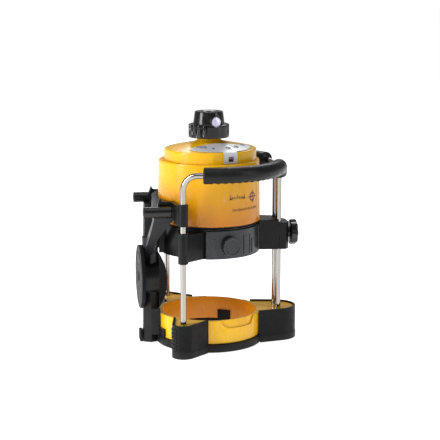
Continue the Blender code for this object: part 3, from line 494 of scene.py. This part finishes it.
def arc(radius, start, end, steps):
    """Points along an arc about the origin, from one angle to another."""
    turns = [math.radians(start + (end - start) * i / steps) for i in range(steps + 1)]
    return [(radius * math.cos(t), radius * math.sin(t)) for t in turns]


def circle(radius, sides=48):
    return arc(radius, 0, 360, sides)[:-1]


def rectangle(left, right, low, high):
    return [(left, low), (right, low), (right, high), (left, high)]


def raised(outline, height):
    """Outline as points at one height."""
    return [(x, y, height) for x, y in outline]


def fillet(points, radius, steps=4, closed=True):
    """Outline with its corners rounded, as far as the sides allow."""
    rounded = []
    count = len(points)
    for i, corner in enumerate(points):
        here = Vector(corner)
        if not closed and i in (0, count - 1):
            rounded.append(corner)
            continue
        back = Vector(points[i - 1]) - here
        ahead = Vector(points[(i + 1) % count]) - here
        reach = min(radius, back.length * 0.45, ahead.length * 0.45)
        start = here + back.normalized() * reach
        end = here + ahead.normalized() * reach
        for k in range(steps + 1):
            t = k / steps
            rounded.append(tuple(start * (1 - t) ** 2 + here * 2 * t * (1 - t) + end * t * t))
    return rounded


def loft(rings, closed=False, cap=True):
    """Skin over rings of points; each ring has the same number of points."""
    mesh = bmesh.new()
    rows = [[mesh.verts.new(p) for p in ring] for ring in rings]
    pairs = list(zip(rows, rows[1:]))
    if closed:
        pairs.append((rows[-1], rows[0]))
    for low, high in pairs:
        for i in range(len(low)):
            j = (i + 1) % len(low)
            mesh.faces.new((low[i], low[j], high[j], high[i]))
    if cap and not closed:
        mesh.faces.new(rows[0][::-1])
        mesh.faces.new(rows[-1])
    return mesh


def revolved(profile, steps=72, closed=True, shape=None):
    """Profile of (radius, height) pairs turned about Z; shape(azimuth, height) may scale each radius."""
    rings = []
    for radius, height in profile:
        ring = []
        for i in range(steps):
            az = 360 * i / steps
            scale = shape(az, height) if shape else 1
            ring.append(ring_point(az, radius * scale, height))
        rings.append(ring)
    return loft(rings, closed=closed, cap=not closed)


def slab(outline, low, high, round_top=0.0, steps=3):
    """Flat plate with an outline, whose top edge may be rounded."""
    rings = [raised(outline, low), raised(outline, high - round_top)]
    if round_top:
        centre = sum((Vector(p) for p in outline), Vector((0, 0))) / len(outline)
        reach = max((Vector(p) - centre).length for p in outline)
        for k in range(1, steps + 1):
            turn = math.radians(90 * k / steps)
            scale = 1 - round_top * (1 - math.cos(turn)) / reach
            lift = high - round_top * (1 - math.sin(turn))
            rings.append([(*(centre + (Vector(p) - centre) * scale), lift) for p in outline])
    return loft(rings)


def swept(path, section, sides):
    """Tube along a path; section(angle, distance) gives its radius, where angle 0 points up."""
    rings = []
    travelled = 0.0
    for i, here in enumerate(path):
        ahead = (path[min(i + 1, len(path) - 1)] - path[max(i - 1, 0)]).normalized()
        radial = Vector((here.x, here.y, 0)).normalized()
        across = (radial - ahead * radial.dot(ahead)).normalized()
        upward = across.cross(ahead).normalized()
        if i:
            travelled += (here - path[i - 1]).length
        ring = []
        for k in range(sides):
            turn = 2 * math.pi * k / sides
            radius = section(turn, travelled)
            ring.append(here + upward * radius * math.cos(turn) + across * radius * math.sin(turn))
        rings.append(ring)
    return loft(rings)


def wrapped(name, outline, radius_of, node, material, low=0.0, high=0.35 * MM, angle=35):
    """Print or low relief on the housing: an outline of (azimuth, height) pairs laid on a curved wall."""
    mesh = bmesh.new()
    rows = []
    for lift in (low, high):
        rows.append([mesh.verts.new(ring_point(az, radius_of(z) + lift, z)) for az, z in outline])
    mesh.faces.new(rows[1])
    mesh.faces.new(rows[0][::-1])
    for i in range(len(outline)):
        j = (i + 1) % len(outline)
        mesh.faces.new((rows[0][i], rows[0][j], rows[1][j], rows[1][i]))
    return piece(name, mesh, material, node, angle=angle)


# ---------------------------------------------------------------- base
def dress_base():
    finished("base_ring", YELLOW, 0.8 * MM, segments=3)
    finished("base_band", RUBBER, 0.8 * MM)
    for node, corner in (("boot_front_left", FRONT_LEFT), ("boot_right", RIGHT), ("boot_rear_left", REAR_LEFT)):
        finished(node, RUBBER, 0.9 * MM, segments=3)
        if corner != RIGHT:
            add_boot_ribs(node, corner)
    for node in ("ring_pad_front", "ring_pad_rear", "ring_pad_left"):
        finished(node, RUBBER, 0.4 * MM)
    add_lobe_lines()
    add_pocket_corners()


def add_pocket_corners():
    """Rounded left end and slanted right end of the finger pocket in the ring's front."""
    floor, top = 32.5 * MM, BASE_TOP - 0.1 * MM
    under = floor - 0.6 * MM
    left, right, sweep = -26.2, 22.2, 15
    rounded = []
    for k in range(13):
        turn = math.radians(7.5 * k)
        rounded.append((left + sweep * (1 - math.cos(turn)), top - (top - floor) * math.sin(turn)))
    rounded += [(left + sweep, under), (left - 0.5, under), (left - 0.5, top)]
    slant = [(right + 0.5, under), (right + 0.5, top), (right - 0.6, top)]
    slant += [(right - 7.5, floor), (right - 7.5, under)]
    for name, outline in (("left", rounded), ("right", slant)):
        wrapped("base_ring.pocket_" + name, outline, lambda height: RING_OUT, "base_ring", YELLOW,
                -3.2 * MM, -0.04 * MM)


def add_boot_ribs(node, corner):
    """Stack of moulded bars round a boot's outer corner."""
    radius = 15.2 * MM
    for k in range(6):
        outline = arc(radius + 1.15 * MM, -80, -16, 10) + arc(radius - 0.6 * MM, -16, -80, 10)
        low = (11 + 5.2 * k) * MM
        mesh = slab(fillet(outline, 0.5 * MM, 2), low, low + 3.2 * MM)
        bar = piece("%s.rib%d" % (node, k), mesh, RUBBER, node, side_frame(corner, POST_CIRCLE))
        edged(bar, 0.35 * MM)


def add_lobe_lines():
    """Two moulded lines that run from the ring to the posts on the wide lobe."""
    for k, across in enumerate((-4.5, 4.5)):
        mesh = bmesh.new()
        bmesh.ops.create_cube(mesh, size=1)
        size = Matrix.Diagonal((20 * MM, 1.1 * MM, 0.9 * MM, 1))
        mesh.transform(Matrix.Translation((83 * MM, across * MM, BASE_TOP)) @ size)
        line = piece("base_ring.line%d" % k, mesh, YELLOW, "base_ring", side_frame(RIGHT))
        edged(line, 0.3 * MM)


# ---------------------------------------------------------------- bails and grips
def bail_path(start_az, end_az, skip=0.0, stop=None, steps=12, spans=44):
    """Centre line from one foot up, over the bowed top and down. It may skip a length of the first bend, and
    stop at an angle in the last one."""
    wide = math.hypot(POST_CIRCLE, POST_SPLIT)
    radius = wide if start_az > 0 else POST_CIRCLE
    end_radius = wide if abs(end_az - 180) > 1 else POST_CIRCLE
    bend = math.degrees(BEND_R / POST_CIRCLE)
    points = []
    if skip == 0:
        points.append(ring_point(start_az, radius, TUBE_FOOT))
        for i in range(steps):
            phi = math.radians(90 * i / steps)
            az = start_az + bend * (1 - math.cos(phi))
            points.append(ring_point(az, radius, BAIL_TOP - BEND_R * (1 - math.sin(phi))))
    first = start_az + (math.degrees(skip / POST_CIRCLE) if skip else bend)
    last = end_az - bend
    for i in range(spans + 1):
        share = i / spans
        bowed = radius + (end_radius - radius) * share
        points.append(ring_point(first + (last - first) * share, bowed, BAIL_TOP))
    for i in range(1, steps + 1):
        phi = math.radians(90 * i / steps)
        if stop is not None and math.degrees(phi) > stop:
            break
        az = end_az - bend * (1 - math.sin(phi))
        points.append(ring_point(az, end_radius, BAIL_TOP - BEND_R * (1 - math.cos(phi))))
    if stop is None:
        points.append(ring_point(end_az, end_radius, TUBE_FOOT))
    return points


def spaced(path, step):
    """The same path with points at an even spacing."""
    lengths = [0.0]
    for a, b in zip(path, path[1:]):
        lengths.append(lengths[-1] + (b - a).length)
    count = max(2, round(lengths[-1] / step))
    even = []
    at = 0
    for i in range(count + 1):
        target = lengths[-1] * i / count
        while at < len(path) - 2 and lengths[at + 1] < target:
            at += 1
        share = (target - lengths[at]) / max(lengths[at + 1] - lengths[at], 1e-9)
        even.append(path[at].lerp(path[at + 1], min(share, 1)))
    return even


def add_bail(side, start_az, end_az):
    """Bent steel tube with a foot at each end."""
    node = side + "_bail"
    mesh = swept(bail_path(start_az, end_az), lambda turn, run: TUBE_R, 28)
    piece(node + ".tube", mesh, STEEL, node, angle=60, stands_for=(node,))


def add_grip(side, start_az, end_az):
    """Rubber grip with finger waves on its lower, inner side and rounded ends."""
    node = side + "_grip"
    path = spaced(bail_path(start_az, end_az, skip=GRIP_START, stop=68), 1.1 * MM)
    total = sum((b - a).length for a, b in zip(path, path[1:]))
    pitch = 9.6 * MM
    middle = math.radians(232)
    nose = 1.6 * MM

    def section(turn, run):
        inner_side = max(0.0, math.cos(turn - middle) + 0.25) / 1.25
        fade = min(1.0, max(0.0, (run - 7 * MM) / (6 * MM)),
                   max(0.0, (total - run - 16 * MM) / (10 * MM)))
        wave = 0.5 - 0.5 * math.cos(2 * math.pi * run / pitch)
        end = min(run, total - run)
        rounding = nose * max(0.0, 1 - end / nose) ** 2
        return GRIP_R - 0.15 * MM - rounding - 1.5 * MM * wave * fade * inner_side ** 0.6

    piece(node + ".rubber", swept(path, section, 48), GRIP_RUBBER, node, angle=50, stands_for=(node,))


def dress_cage():
    spans = (("front", FRONT_LEFT, RIGHT - SPLIT_AZ), ("rear", RIGHT + SPLIT_AZ, REAR_LEFT))
    for side, start_az, end_az in spans:
        add_bail(side, start_az, end_az)
        add_grip(side, start_az, end_az)
    finished("support_yoke", BLACK, 0.9 * MM, segments=3)
    finished("support_column", FORKED, 0.9 * MM, segments=3)
    finished("column_cover", BLACK, 0.8 * MM, segments=3)
    finished("column_foot", RUBBER, 0.5 * MM)
    for node in ("standoff_peg_front", "standoff_peg_rear"):
        finished(node, HEAD_BLACK, 0.8 * MM, segments=3)
    add_tripod_disc()


def thread_sleeve(name, node, low, high, outer, material, matrix=None):
    """Insert whose bore carries a 5/8-11 inch helical thread."""
    crest = 0.9 * MM
    rows = []
    turn = 360 / THREAD_SIDES
    count = round((high - low) / THREAD_PITCH * 7)
    for k in range(count + 1):
        height = low + (high - low) * k / count
        ring = []
        for i in range(THREAD_SIDES):
            phase = height / THREAD_PITCH - i / THREAD_SIDES
            cut = 0.5 + 0.5 * math.cos(2 * math.pi * phase)
            ring.append(ring_point(turn * i, THREAD_R - crest * cut, height))
        rows.append(ring)
    for radius, height in outer:
        rows.append([ring_point(turn * i, radius, height) for i in range(THREAD_SIDES)])
    piece(name, loft(rows, closed=True), material, node, matrix, stands_for=(node,))


def add_tripod_disc():
    """Round disc with two shallow grooves in its face, and its threaded insert."""
    through = outward_frame(SUPPORT_SIDE, 0, DISC_Z)
    inner, face, groove = DISC_FACE - 5.2 * MM, DISC_FACE, DISC_FACE - 0.7 * MM
    outline = [(9.2 * MM, face), (17 * MM, face), (17.4 * MM, groove), (18.6 * MM, groove)]
    outline += [(19 * MM, face), (34 * MM, face), (34.4 * MM, groove), (36 * MM, groove)]
    outline += [(36.4 * MM, face), (DISC_R, face), (DISC_R, inner), (9.2 * MM, inner)]
    mesh = revolved(fillet(outline, 0.9 * MM, 3), 96)
    piece("tripod_disc.face", mesh, DISC_GREY, "tripod_disc", through, stands_for=("tripod_disc",))
    low, high = 84.3 * MM, face - 0.4 * MM
    outer = [(8.7 * MM, high), (8.9 * MM, face - 0.6 * MM), (8.9 * MM, low)]
    thread_sleeve("disc_thread_insert.thread", "disc_thread_insert", low, high, outer, BLACKENED, through)


# ---------------------------------------------------------------- laser unit, lower half
def dress_carriage():
    for node in ("carrier_arm_front", "carrier_arm_rear", "carrier_arm_right", "clamp_jaw"):
        finished(node, BLACK, 0.9 * MM, segments=3)
    finished("laser_hull", BLACK, 0.7 * MM, segments=2)
    finished("battery_door", DOOR_SLATE, 0.7 * MM, segments=3)
    finished("housing_seal", RUBBER, 0.5 * MM)
    add_door_relief()
    add_hull_bead()
    add_lock_knob()
    add_clamp_knob()
    carry("clamp_stud", TURNED_STEEL)
    low, flange = HULL_LOW - 1.8 * MM, HULL_LOW - 0.3 * MM
    outer = [(8.7 * MM, HULL_THREAD_TOP), (8.7 * MM, flange), (14 * MM, flange), (14 * MM, low)]
    thread_sleeve("hull_thread_insert.thread", "hull_thread_insert", low, HULL_THREAD_TOP, outer, BRASS)


def add_door_relief():
    """Raised moulded ribs on the battery door, some wide and some narrow."""
    ribs = ((-39.5, 3.0, 133.5, 166), (-33.5, 2.2, 133.5, 158), (3.5, 0.9, 134, 160), (13.5, 0.9, 134, 160),
            (17.5, 0.9, 134, 154), (38, 2.2, 133.5, 166))
    for k, (az, half, low, high) in enumerate(ribs):
        outline = fillet(rectangle(az - half, az + half, low * MM, high * MM), 1.2 * MM, 3)
        middle = sum(p[1] for p in outline) / len(outline)
        rows = []
        for lift, grow in ((-0.4, 1.0), (0.35, 1.0), (0.8, 0.72)):
            taller = 0.97 + 0.03 * grow
            rows.append([ring_point(az + (a - az) * grow, DOOR_R + lift * MM, middle + (z - middle) * taller)
                         for a, z in outline])
        piece("battery_door.rib%d" % k, loft(rows), DOOR_SLATE, "battery_door", angle=50)


def add_hull_bead():
    """Raised bead that follows the hull's upper edge above the door."""
    path = [ring_point(-42 + 2 * i, 68.5 * MM, 170.6 * MM) for i in range(38)]
    mesh = swept(path, lambda turn, run: 0.75 * MM, 12)
    piece("laser_hull.bead", mesh, DOOR_SLATE, "laser_hull", angle=60)


def add_lock_knob():
    """Round lock with a rim about its sunk face, and a pin behind it."""
    seat = outward_frame(LOCK_AZ, 0, LOCK_Z)
    root, face, front, radius = 68.8 * MM, 71.4 * MM, 79 * MM, 13.4 * MM
    outline = [(radius - 3.4 * MM, front - 0.7 * MM), (radius - 2.6 * MM, front), (radius, front)]
    outline += [(radius, face + 1 * MM), (radius - 0.8 * MM, face), (4.6 * MM, face), (4.6 * MM, root)]
    outline = fillet(outline, 0.7 * MM, 3, closed=False)
    rows = [(0.3 * MM, front - 0.9 * MM)] + outline + [(0.3 * MM, root)]
    piece("battery_lock_knob.turned", revolved(rows, 64, closed=False), DOOR_SLATE, "battery_lock_knob", seat,
          stands_for=("battery_lock_knob",))


def add_clamp_knob():
    """Lobed knob with rounded rims and a sunk cap."""
    seat = outward_frame(RIGHT, 0, CLAMP_Z)
    root, low, high = 111.9 * MM, 115 * MM, 125.5 * MM
    lobes = 8

    def ring(radius, height, depth=0.0):
        points = []
        for i in range(120):
            turn = math.radians(3 * i)
            reach = radius + depth * math.cos(lobes * turn)
            points.append((reach * math.cos(turn), reach * math.sin(turn), height))
        return points

    rows = [ring(3.4 * MM, root), ring(7.2 * MM, root), ring(7.5 * MM, root + 0.4 * MM)]
    rows += [ring(7.5 * MM, low - 0.2 * MM), ring(9 * MM, low), ring(14.2 * MM, low + 0.1 * MM, 0.5 * MM)]
    for k in range(5):
        turn = math.radians(22.5 * k)
        height = low + 0.1 * MM + 2.4 * MM * (1 - math.cos(turn))
        rows.append(ring((15.2 + 2.0 * math.sin(turn)) * MM, height, 0.9 * MM))
    for k in range(5):
        turn = math.radians(90 - 22.5 * k)
        height = high - 3 * MM * (1 - math.cos(turn))
        rows.append(ring((14.4 + 2.8 * math.sin(turn)) * MM, height, 0.9 * MM))
    rows += [ring(10.4 * MM, high - 0.1 * MM), ring(9.8 * MM, high - 0.9 * MM), ring(0.4 * MM, high - 0.5 * MM)]
    piece("clamp_knob.lobed", loft(rows), HEAD_BLACK, "clamp_knob", seat, angle=40, stands_for=("clamp_knob",))


# ---------------------------------------------------------------- laser unit, housing
def share_between(value, low, high):
    """0 below low, 1 above high, and a smooth step between."""
    t = min(1.0, max(0.0, (value - low) / (high - low)))
    return t * t * (3 - 2 * t)


def faceted(az, depth, corner=-79, flat=45):
    """Scale of a round wall that turns into broad flats, each of a given angle, on its left and rear."""
    az = (az + 180) % 360 - 180
    amount = share_between(-az, 24, 46) * share_between(az, -176, -160)
    middle = (az - corner) % flat - flat / 2
    sag = 1 - math.cos(math.radians(flat / 2)) / math.cos(math.radians(middle))
    return 1 - depth * amount * sag


def shell_radius(height):
    """Radius of the housing's slightly tapered wall."""
    share = (height - SHELL_LOW) / (SHELL_TOP - SHELL_LOW)
    return SHELL_R_LOW + (SHELL_R_TOP - SHELL_R_LOW) * share


def add_shell():
    """Housing wall with a rounded shoulder, a lip at its foot and broad flats on the left."""
    rim = TIER_R - 4 * MM
    outer = [(rim, SHELL_TOP), (SHELL_R_TOP, SHELL_TOP), (shell_radius(184 * MM), 184 * MM)]
    outer += [(SHELL_R_LOW, SHELL_LOW + 2 * MM), (SHELL_R_LOW, SHELL_LOW)]
    inner = [(SHELL_R_LOW - WALL, SHELL_LOW), (SHELL_R_TOP - WALL, SHELL_TOP - WALL), (rim, SHELL_TOP - WALL)]
    mesh = revolved(fillet(outer + inner, 1.8 * MM, 5), 144, shape=lambda az, z: faceted(az, 0.22))
    piece("housing_shell.wall", mesh, HOUSING, "housing_shell", angle=50, stands_for=("housing_shell",))


def key_outline(radius, stretch):
    """Round key's outline, stretched along the panel."""
    return [(x, y * stretch) for x, y in circle(radius, 40)]


def add_cover():
    """Raised top: an upright tier, a sloping face and the neck under the head."""
    shoulder, shoulder_low = 2.2 * MM, 272.1 * MM
    # radius, height, and how far the row's centre has moved from the head's axis to the tier's
    rows = [(TIER_R - WALL, COVER_LOW, 1), (TIER_R, COVER_LOW, 1)]
    for k in range(6):
        turn = math.radians(18 * k)
        radius = TIER_R - shoulder * (1 - math.cos(turn))
        rows.append((radius, shoulder_low + shoulder * math.sin(turn), 1))
    rows += [(radius * MM, cone_height(radius * MM), 1) for radius in (56, 40, 25)]
    neck = ((20.2, 283.0, 0.7), (18.2, 283.9, 0.35), (16.9, 285, 0.1), (16.2, 286.6, 0), (16.0, 288.1, 0),
            (15.7, 288.4, 0), (13, 288.4, 0), (13, 279, 0), (17, 278.5, 0.3))
    rows += [(radius * MM, height * MM, share) for radius, height, share in neck]
    rows += [(40 * MM, cone_height(40 * MM) - WALL, 1), (TIER_R - WALL, 271 * MM, 1)]
    rings = []
    for radius, height, share in rows:
        centre = ring_point(TIER_SHIFT_AZ, TIER_SHIFT * share)
        depth = 0.3 * share_between(radius, 40 * MM, 60 * MM)
        rings.append([centre + ring_point(2.5 * i, radius * faceted(2.5 * i, depth), height)
                      for i in range(144)])
    cover = piece("top_cover.tier", loft(rings, closed=True), HOUSING, "top_cover", angle=40,
                  stands_for=("top_cover",))
    wells = []
    for node, az, radius, size, stretch in BUTTONS:
        outline = key_outline(size + 0.35 * MM, stretch)
        wells.append(tool("well", slab(outline, -8 * MM, 6 * MM), cone_frame(az, radius)))
    boolean(cover, wells)


def add_keys():
    """Membrane keys with generic marks that say only which way each one acts."""
    low, high = 1.7 * MM, 1.96 * MM
    for node, az, radius, size, stretch in BUTTONS:
        seat = cone_frame(az, radius)
        mesh = slab(key_outline(size, stretch), -2.4 * MM, 1.9 * MM, 0.6 * MM)
        piece(node + ".cap", mesh, KEY, node, seat, angle=50, stands_for=(node,))
        rim = key_outline(size - 0.4 * MM, stretch * 1.01)
        core = key_outline(size - 1.2 * MM, stretch * 1.02)
        rows = [raised(rim, low), raised(rim, high), raised(core, high), raised(core, low)]
        piece(node + ".ring", loft(rows, closed=True), INK, node, seat)
        for k, outline in enumerate(key_mark(node)):
            mark = slab([(x * MM, y * MM) for x, y in outline], low, high + 0.01 * MM)
            piece("%s.mark%d" % (node, k), mark, INK, node, seat)


def key_mark(node):
    """Outlines of a key's mark, in millimetres; +X points away from the head."""
    if node == "button_power":
        bar = [(-2.2, -0.3), (-2.2, 0.3), (0.4, 0.3), (0.4, -0.3)]
        return [bar, arc(2.1, -125, 125, 12) + arc(1.6, 125, -125, 12)]
    if node == "button_slope":
        return [[(0.9, -1.6), (0.9, 1.6), (-1.1, 1.6)]]
    if node == "button_scan":
        return [rectangle(-0.3, 0.3, -1.7, 1.7), arc(0.8, 0, 330, 11)]
    return [arc(1.5, 20, 300, 12) + arc(1.05, 300, 20, 12), [(0.6, -1.9), (1.9, -1.2), (0.6, -0.4)]]


def add_sensor_window():
    """Smoked detector window, split into four panes by a thin frame."""
    seat = tier_frame() @ side_frame(LASER_FRONT)
    middle = 265.5 * MM
    pane = 3.25 * MM
    for k, (side, lift) in enumerate(((-1, -1), (1, -1), (-1, 1), (1, 1))):
        y, z = side * (pane / 2 + 0.2 * MM), middle + lift * (pane / 2 + 0.15 * MM)
        outline = rectangle(y - pane / 2, y + pane / 2, z - 1.55 * MM, z + 1.55 * MM)
        outline = fillet(outline, 0.5 * MM, 3)
        rows = [[(x, a, b) for a, b in outline] for x in (TIER_R - 1 * MM, TIER_R + 0.5 * MM)]
        piece("sensor_window.pane%d" % k, loft(rows), SMOKED, "sensor_window", seat)
    border = rectangle(-3.6 * MM, 3.6 * MM, middle - 3.2 * MM, middle + 3.2 * MM)
    border = fillet(border, 0.4 * MM, 3)
    rows = [[(x, a, b) for a, b in border] for x in (TIER_R - 3 * MM, TIER_R + 0.25 * MM)]
    piece("sensor_window.frame", loft(rows), INK, "sensor_window", seat, stands_for=("sensor_window",))


def add_housing_print():
    """Plain printed sign on the front: a cross-haired ring beside a graduated line, and a row of ticks."""
    ring_az, ring_z = 17, 212
    low_lift, high_lift = -0.2, 0.12
    turn = 1 / math.radians(1) / SHELL_R_LOW
    outer, inner = [[(ring_az + x * turn, ring_z * MM + z) for x, z in circle(radius * MM, 40)]
                    for radius in (6.2, 4.7)]
    mesh = bmesh.new()
    rows = []
    for outline, lift in ((outer, low_lift), (outer, high_lift), (inner, high_lift), (inner, low_lift)):
        rows.append([mesh.verts.new(ring_point(az, shell_radius(z) + lift * MM, z)) for az, z in outline])
    for low, high in zip(rows, rows[1:] + rows[:1]):
        for i in range(len(low)):
            j = (i + 1) % len(low)
            mesh.faces.new((low[i], low[j], high[j], high[i]))
    piece("print.ring", mesh, INK, "housing_shell")
    # each bar's azimuth and height, and half its width and height
    bars = [(ring_az, ring_z, 0.7, 8.6), (ring_az, ring_z, 8.6, 0.7), (-6, ring_z, 13, 0.9)]
    for k in range(9):
        half = 1.6 if k % 4 else 2.8
        bars.append((-15.2 + 2.3 * k, ring_z + half, 0.5, half))
    bars += [(-12 + 1.6 * k, 196.5, 0.42, 1.5 if k % 5 else 2.3) for k in range(24)]
    for k, (az, height, half_wide, half_high) in enumerate(bars):
        wide = half_wide * MM * turn
        low, high = (height - half_high) * MM, (height + half_high) * MM
        steps = max(1, round(wide))
        outline = [(az - wide + 2 * wide * i / steps, low) for i in range(steps + 1)]
        outline += [(az + wide - 2 * wide * i / steps, high) for i in range(steps + 1)]
        wrapped("print.bar%d" % k, outline, shell_radius, "housing_shell", INK, low_lift * MM, high_lift * MM)


def dress_housing():
    add_shell()
    add_cover()
    finished("control_panel", LABEL, 0.15 * MM, segments=1)
    add_keys()
    add_sensor_window()
    carry("status_led", SMOKED)
    add_housing_print()


# ---------------------------------------------------------------- head and inner works
def add_head():
    """Spinning head: a fluted skirt, a tapered drum with a sunk top, and a hooded window."""
    seat = outward_frame(WINDOW_AZ, 0, WINDOW_Z)
    outer = [(SKIRT_R - 0.7 * MM, HEAD_LOW), (SKIRT_R, HEAD_LOW + 0.7 * MM)]
    outer += [(SKIRT_R, HEAD_LOW + (1.2 + 1.5 * k) * MM) for k in range(1, 10)]
    outer += [(SKIRT_R, SKIRT_TOP - 1.6 * MM), (SKIRT_R - 0.35 * MM, SKIRT_TOP - 0.5 * MM)]
    fluted = range(2, len(outer))
    outer += [(SKIRT_R - 1.4 * MM, SKIRT_TOP), (DRUM_R + 1.2 * MM, SKIRT_TOP + 0.05 * MM)]
    outer += [(DRUM_R + 0.2 * MM, SKIRT_TOP + 0.9 * MM), (DRUM_R - 0.3 * MM, SKIRT_TOP + 4 * MM)]
    outer += [(CAP_R + 0.2 * MM, HEAD_TOP - 2 * MM), (CAP_R - 0.1 * MM, HEAD_TOP - 0.7 * MM)]
    outer += [(CAP_R - 1 * MM, HEAD_TOP), (7.4 * MM, HEAD_TOP - 0.4 * MM), (6.2 * MM, HEAD_TOP - 1.2 * MM)]
    outer += [(6 * MM, HEAD_TOP - 2.4 * MM), (17.4 * MM, HEAD_TOP - 2.4 * MM), (18.6 * MM, SKIRT_TOP - 3 * MM)]
    outer += [(SKIRT_R - 3 * MM, SKIRT_TOP - 3 * MM), (SKIRT_R - 2.4 * MM, HEAD_LOW)]
    plain_half, flute_pitch, flute_low = 33, 17, HEAD_LOW + 1.4 * MM

    def flute(az, height):
        up = (height - flute_low) / (SKIRT_TOP - flute_low)
        from_window = abs((az - WINDOW_AZ + 180) % 360 - 180)
        if up <= 0 or from_window < plain_half:
            return 1
        off = (az - WINDOW_AZ) % flute_pitch - flute_pitch / 2
        width = 7.6 * min(1.0, up * 1.5) ** 0.5
        scoop = max(0.0, 1 - (off / width) ** 2)
        return 1 - 0.095 * scoop * min(1.0, up * 1.6)

    rings = []
    for k, (radius, height) in enumerate(outer):
        rings.append([ring_point(1.5 * i, radius * (flute(1.5 * i, height) if k in fluted else 1), height)
                      for i in range(240)])
    head = piece("rotor_shell.drum", loft(rings, closed=True), HEAD_BLACK, "rotor_shell", angle=38,
                 stands_for=("rotor_shell",))
    arch = arc(9.2 * MM, -20, 200, 40) + [(-9.6 * MM, -7 * MM), (9.6 * MM, -7 * MM)]
    boolean(head, [tool("hood", slab(arch, 18.2 * MM, 24.4 * MM, 0.7 * MM), seat)], "UNION")
    bore = slab(circle(7.4 * MM), 10 * MM, 30 * MM)
    bevelled = loft([raised(circle(7.0 * MM), 23.2 * MM), raised(circle(8.6 * MM), 24.9 * MM)])
    boolean(head, [tool("bore", bore, seat), tool("chamfer", bevelled, seat)])
    lens = [(0.2 * MM, 23.35 * MM), (3.5 * MM, 23.2 * MM), (6.2 * MM, 22.7 * MM), (7.0 * MM, 22.2 * MM)]
    lens += [(7.0 * MM, 20.2 * MM), (0.2 * MM, 20.2 * MM)]
    piece("rotor_window.lens", revolved(lens, 48, closed=False), LENS, "rotor_window", seat, angle=60,
          stands_for=("rotor_window",))


def dress_inside():
    for node in ("chassis_frame", "tilt_motor_x", "tilt_motor_y", "drive_motor", "gimbal_ring", "spindle_frame",
                 "rotor_bearing", "laser_barrel", "rotor_shaft", "rotor_hub", "driven_gear", "drive_pinion",
                 "battery_left", "battery_right", "main_board", "penta_prism"):
        carry(node)


# ---------------------------------------------------------------- studio
def add_floor():
    """Wide pale floor just under the object."""
    mesh = bmesh.new()
    bmesh.ops.create_circle(mesh, cap_ends=True, segments=96, radius=30)
    data = bpy.data.meshes.new("floor")
    mesh.to_mesh(data)
    mesh.free()
    floor = bpy.data.objects.new("floor", data)
    floor.location.z = -0.1 * MM
    bpy.context.scene.collection.objects.link(floor)
    look = Look("floor_pale", 0.6, specular=0.2)
    cloud = look.fit(look.noise(3, 3), 0.3, 0.7, 0, 1)
    look.feed("Base Color", look.blend(cloud, (0.93, 0.93, 0.93), (0.91, 0.91, 0.912)))
    look.set("Emission Color", (1, 1, 1, 1))
    look.set("Emission Strength", 0.8)
    data.materials.append(look.material)


def towards(az, rise):
    """Unit vector from AIM at an azimuth and a rise."""
    turn, lift = math.radians(az), math.radians(rise)
    return Vector((math.sin(turn) * math.cos(lift), -math.cos(turn) * math.cos(lift), math.sin(lift)))


def add_camera():
    """Camera that looks at AIM, with its lens shifted sideways."""
    turn = math.radians(CAMERA_AZ)
    back = towards(CAMERA_AZ, CAMERA_RISE)
    right = Vector((math.cos(turn), math.sin(turn), 0))
    axes = Matrix((right, back.cross(right), back)).transposed().to_4x4()
    data = bpy.data.cameras.new("camera")
    data.lens = CAMERA_LENS
    data.sensor_width = CAMERA_SENSOR
    data.shift_x, data.shift_y = CAMERA_SHIFT
    camera = bpy.data.objects.new("camera", data)
    camera.matrix_world = Matrix.Translation(AIM + back * CAMERA_REACH) @ axes
    bpy.context.scene.collection.objects.link(camera)
    bpy.context.scene.camera = camera


def add_softbox(name, az, rise, reach, size, watts):
    """Area light at an azimuth and a rise, aimed at the object."""
    place = AIM + towards(az, rise) * reach
    data = bpy.data.lights.new(name, "AREA")
    data.shape = "RECTANGLE"
    data.size, data.size_y = size
    data.energy = watts
    light = bpy.data.objects.new(name, data)
    turned = (place - AIM).to_track_quat("Z", "Y").to_matrix().to_4x4()
    light.matrix_world = Matrix.Translation(place) @ turned
    bpy.context.scene.collection.objects.link(light)


def add_world():
    """White background that lights the object only faintly."""
    world = bpy.data.worlds.new("studio")
    world.use_nodes = True
    nodes, links = world.node_tree.nodes, world.node_tree.links
    background = nodes["Background"]
    background.inputs["Color"].default_value = (1, 1, 1, 1)
    strength = nodes.new("ShaderNodeMapRange")
    strength.inputs["To Min"].default_value = WORLD_STRENGTH
    links.new(nodes.new("ShaderNodeLightPath").outputs["Is Camera Ray"], strength.inputs["Value"])
    links.new(strength.outputs["Result"], background.inputs["Strength"])
    bpy.context.scene.world = world


def add_studio():
    add_floor()
    add_camera()
    add_softbox("key", CAMERA_AZ - 62, 26, 1.5, (0.45, 1.3), 22)
    add_softbox("fill", CAMERA_AZ + 62, 22, 1.9, (0.3, 1.5), 6)
    add_softbox("top", CAMERA_AZ + 10, 78, 1.6, (1.4, 1.4), 6)
    add_softbox("rim", CAMERA_AZ + 175, 38, 1.9, (1.2, 0.7), 10)
    add_world()
    bpy.context.scene.view_settings.view_transform = "Standard"


dress_base()
dress_cage()
dress_carriage()
dress_housing()
add_head()
dress_inside()
add_studio()
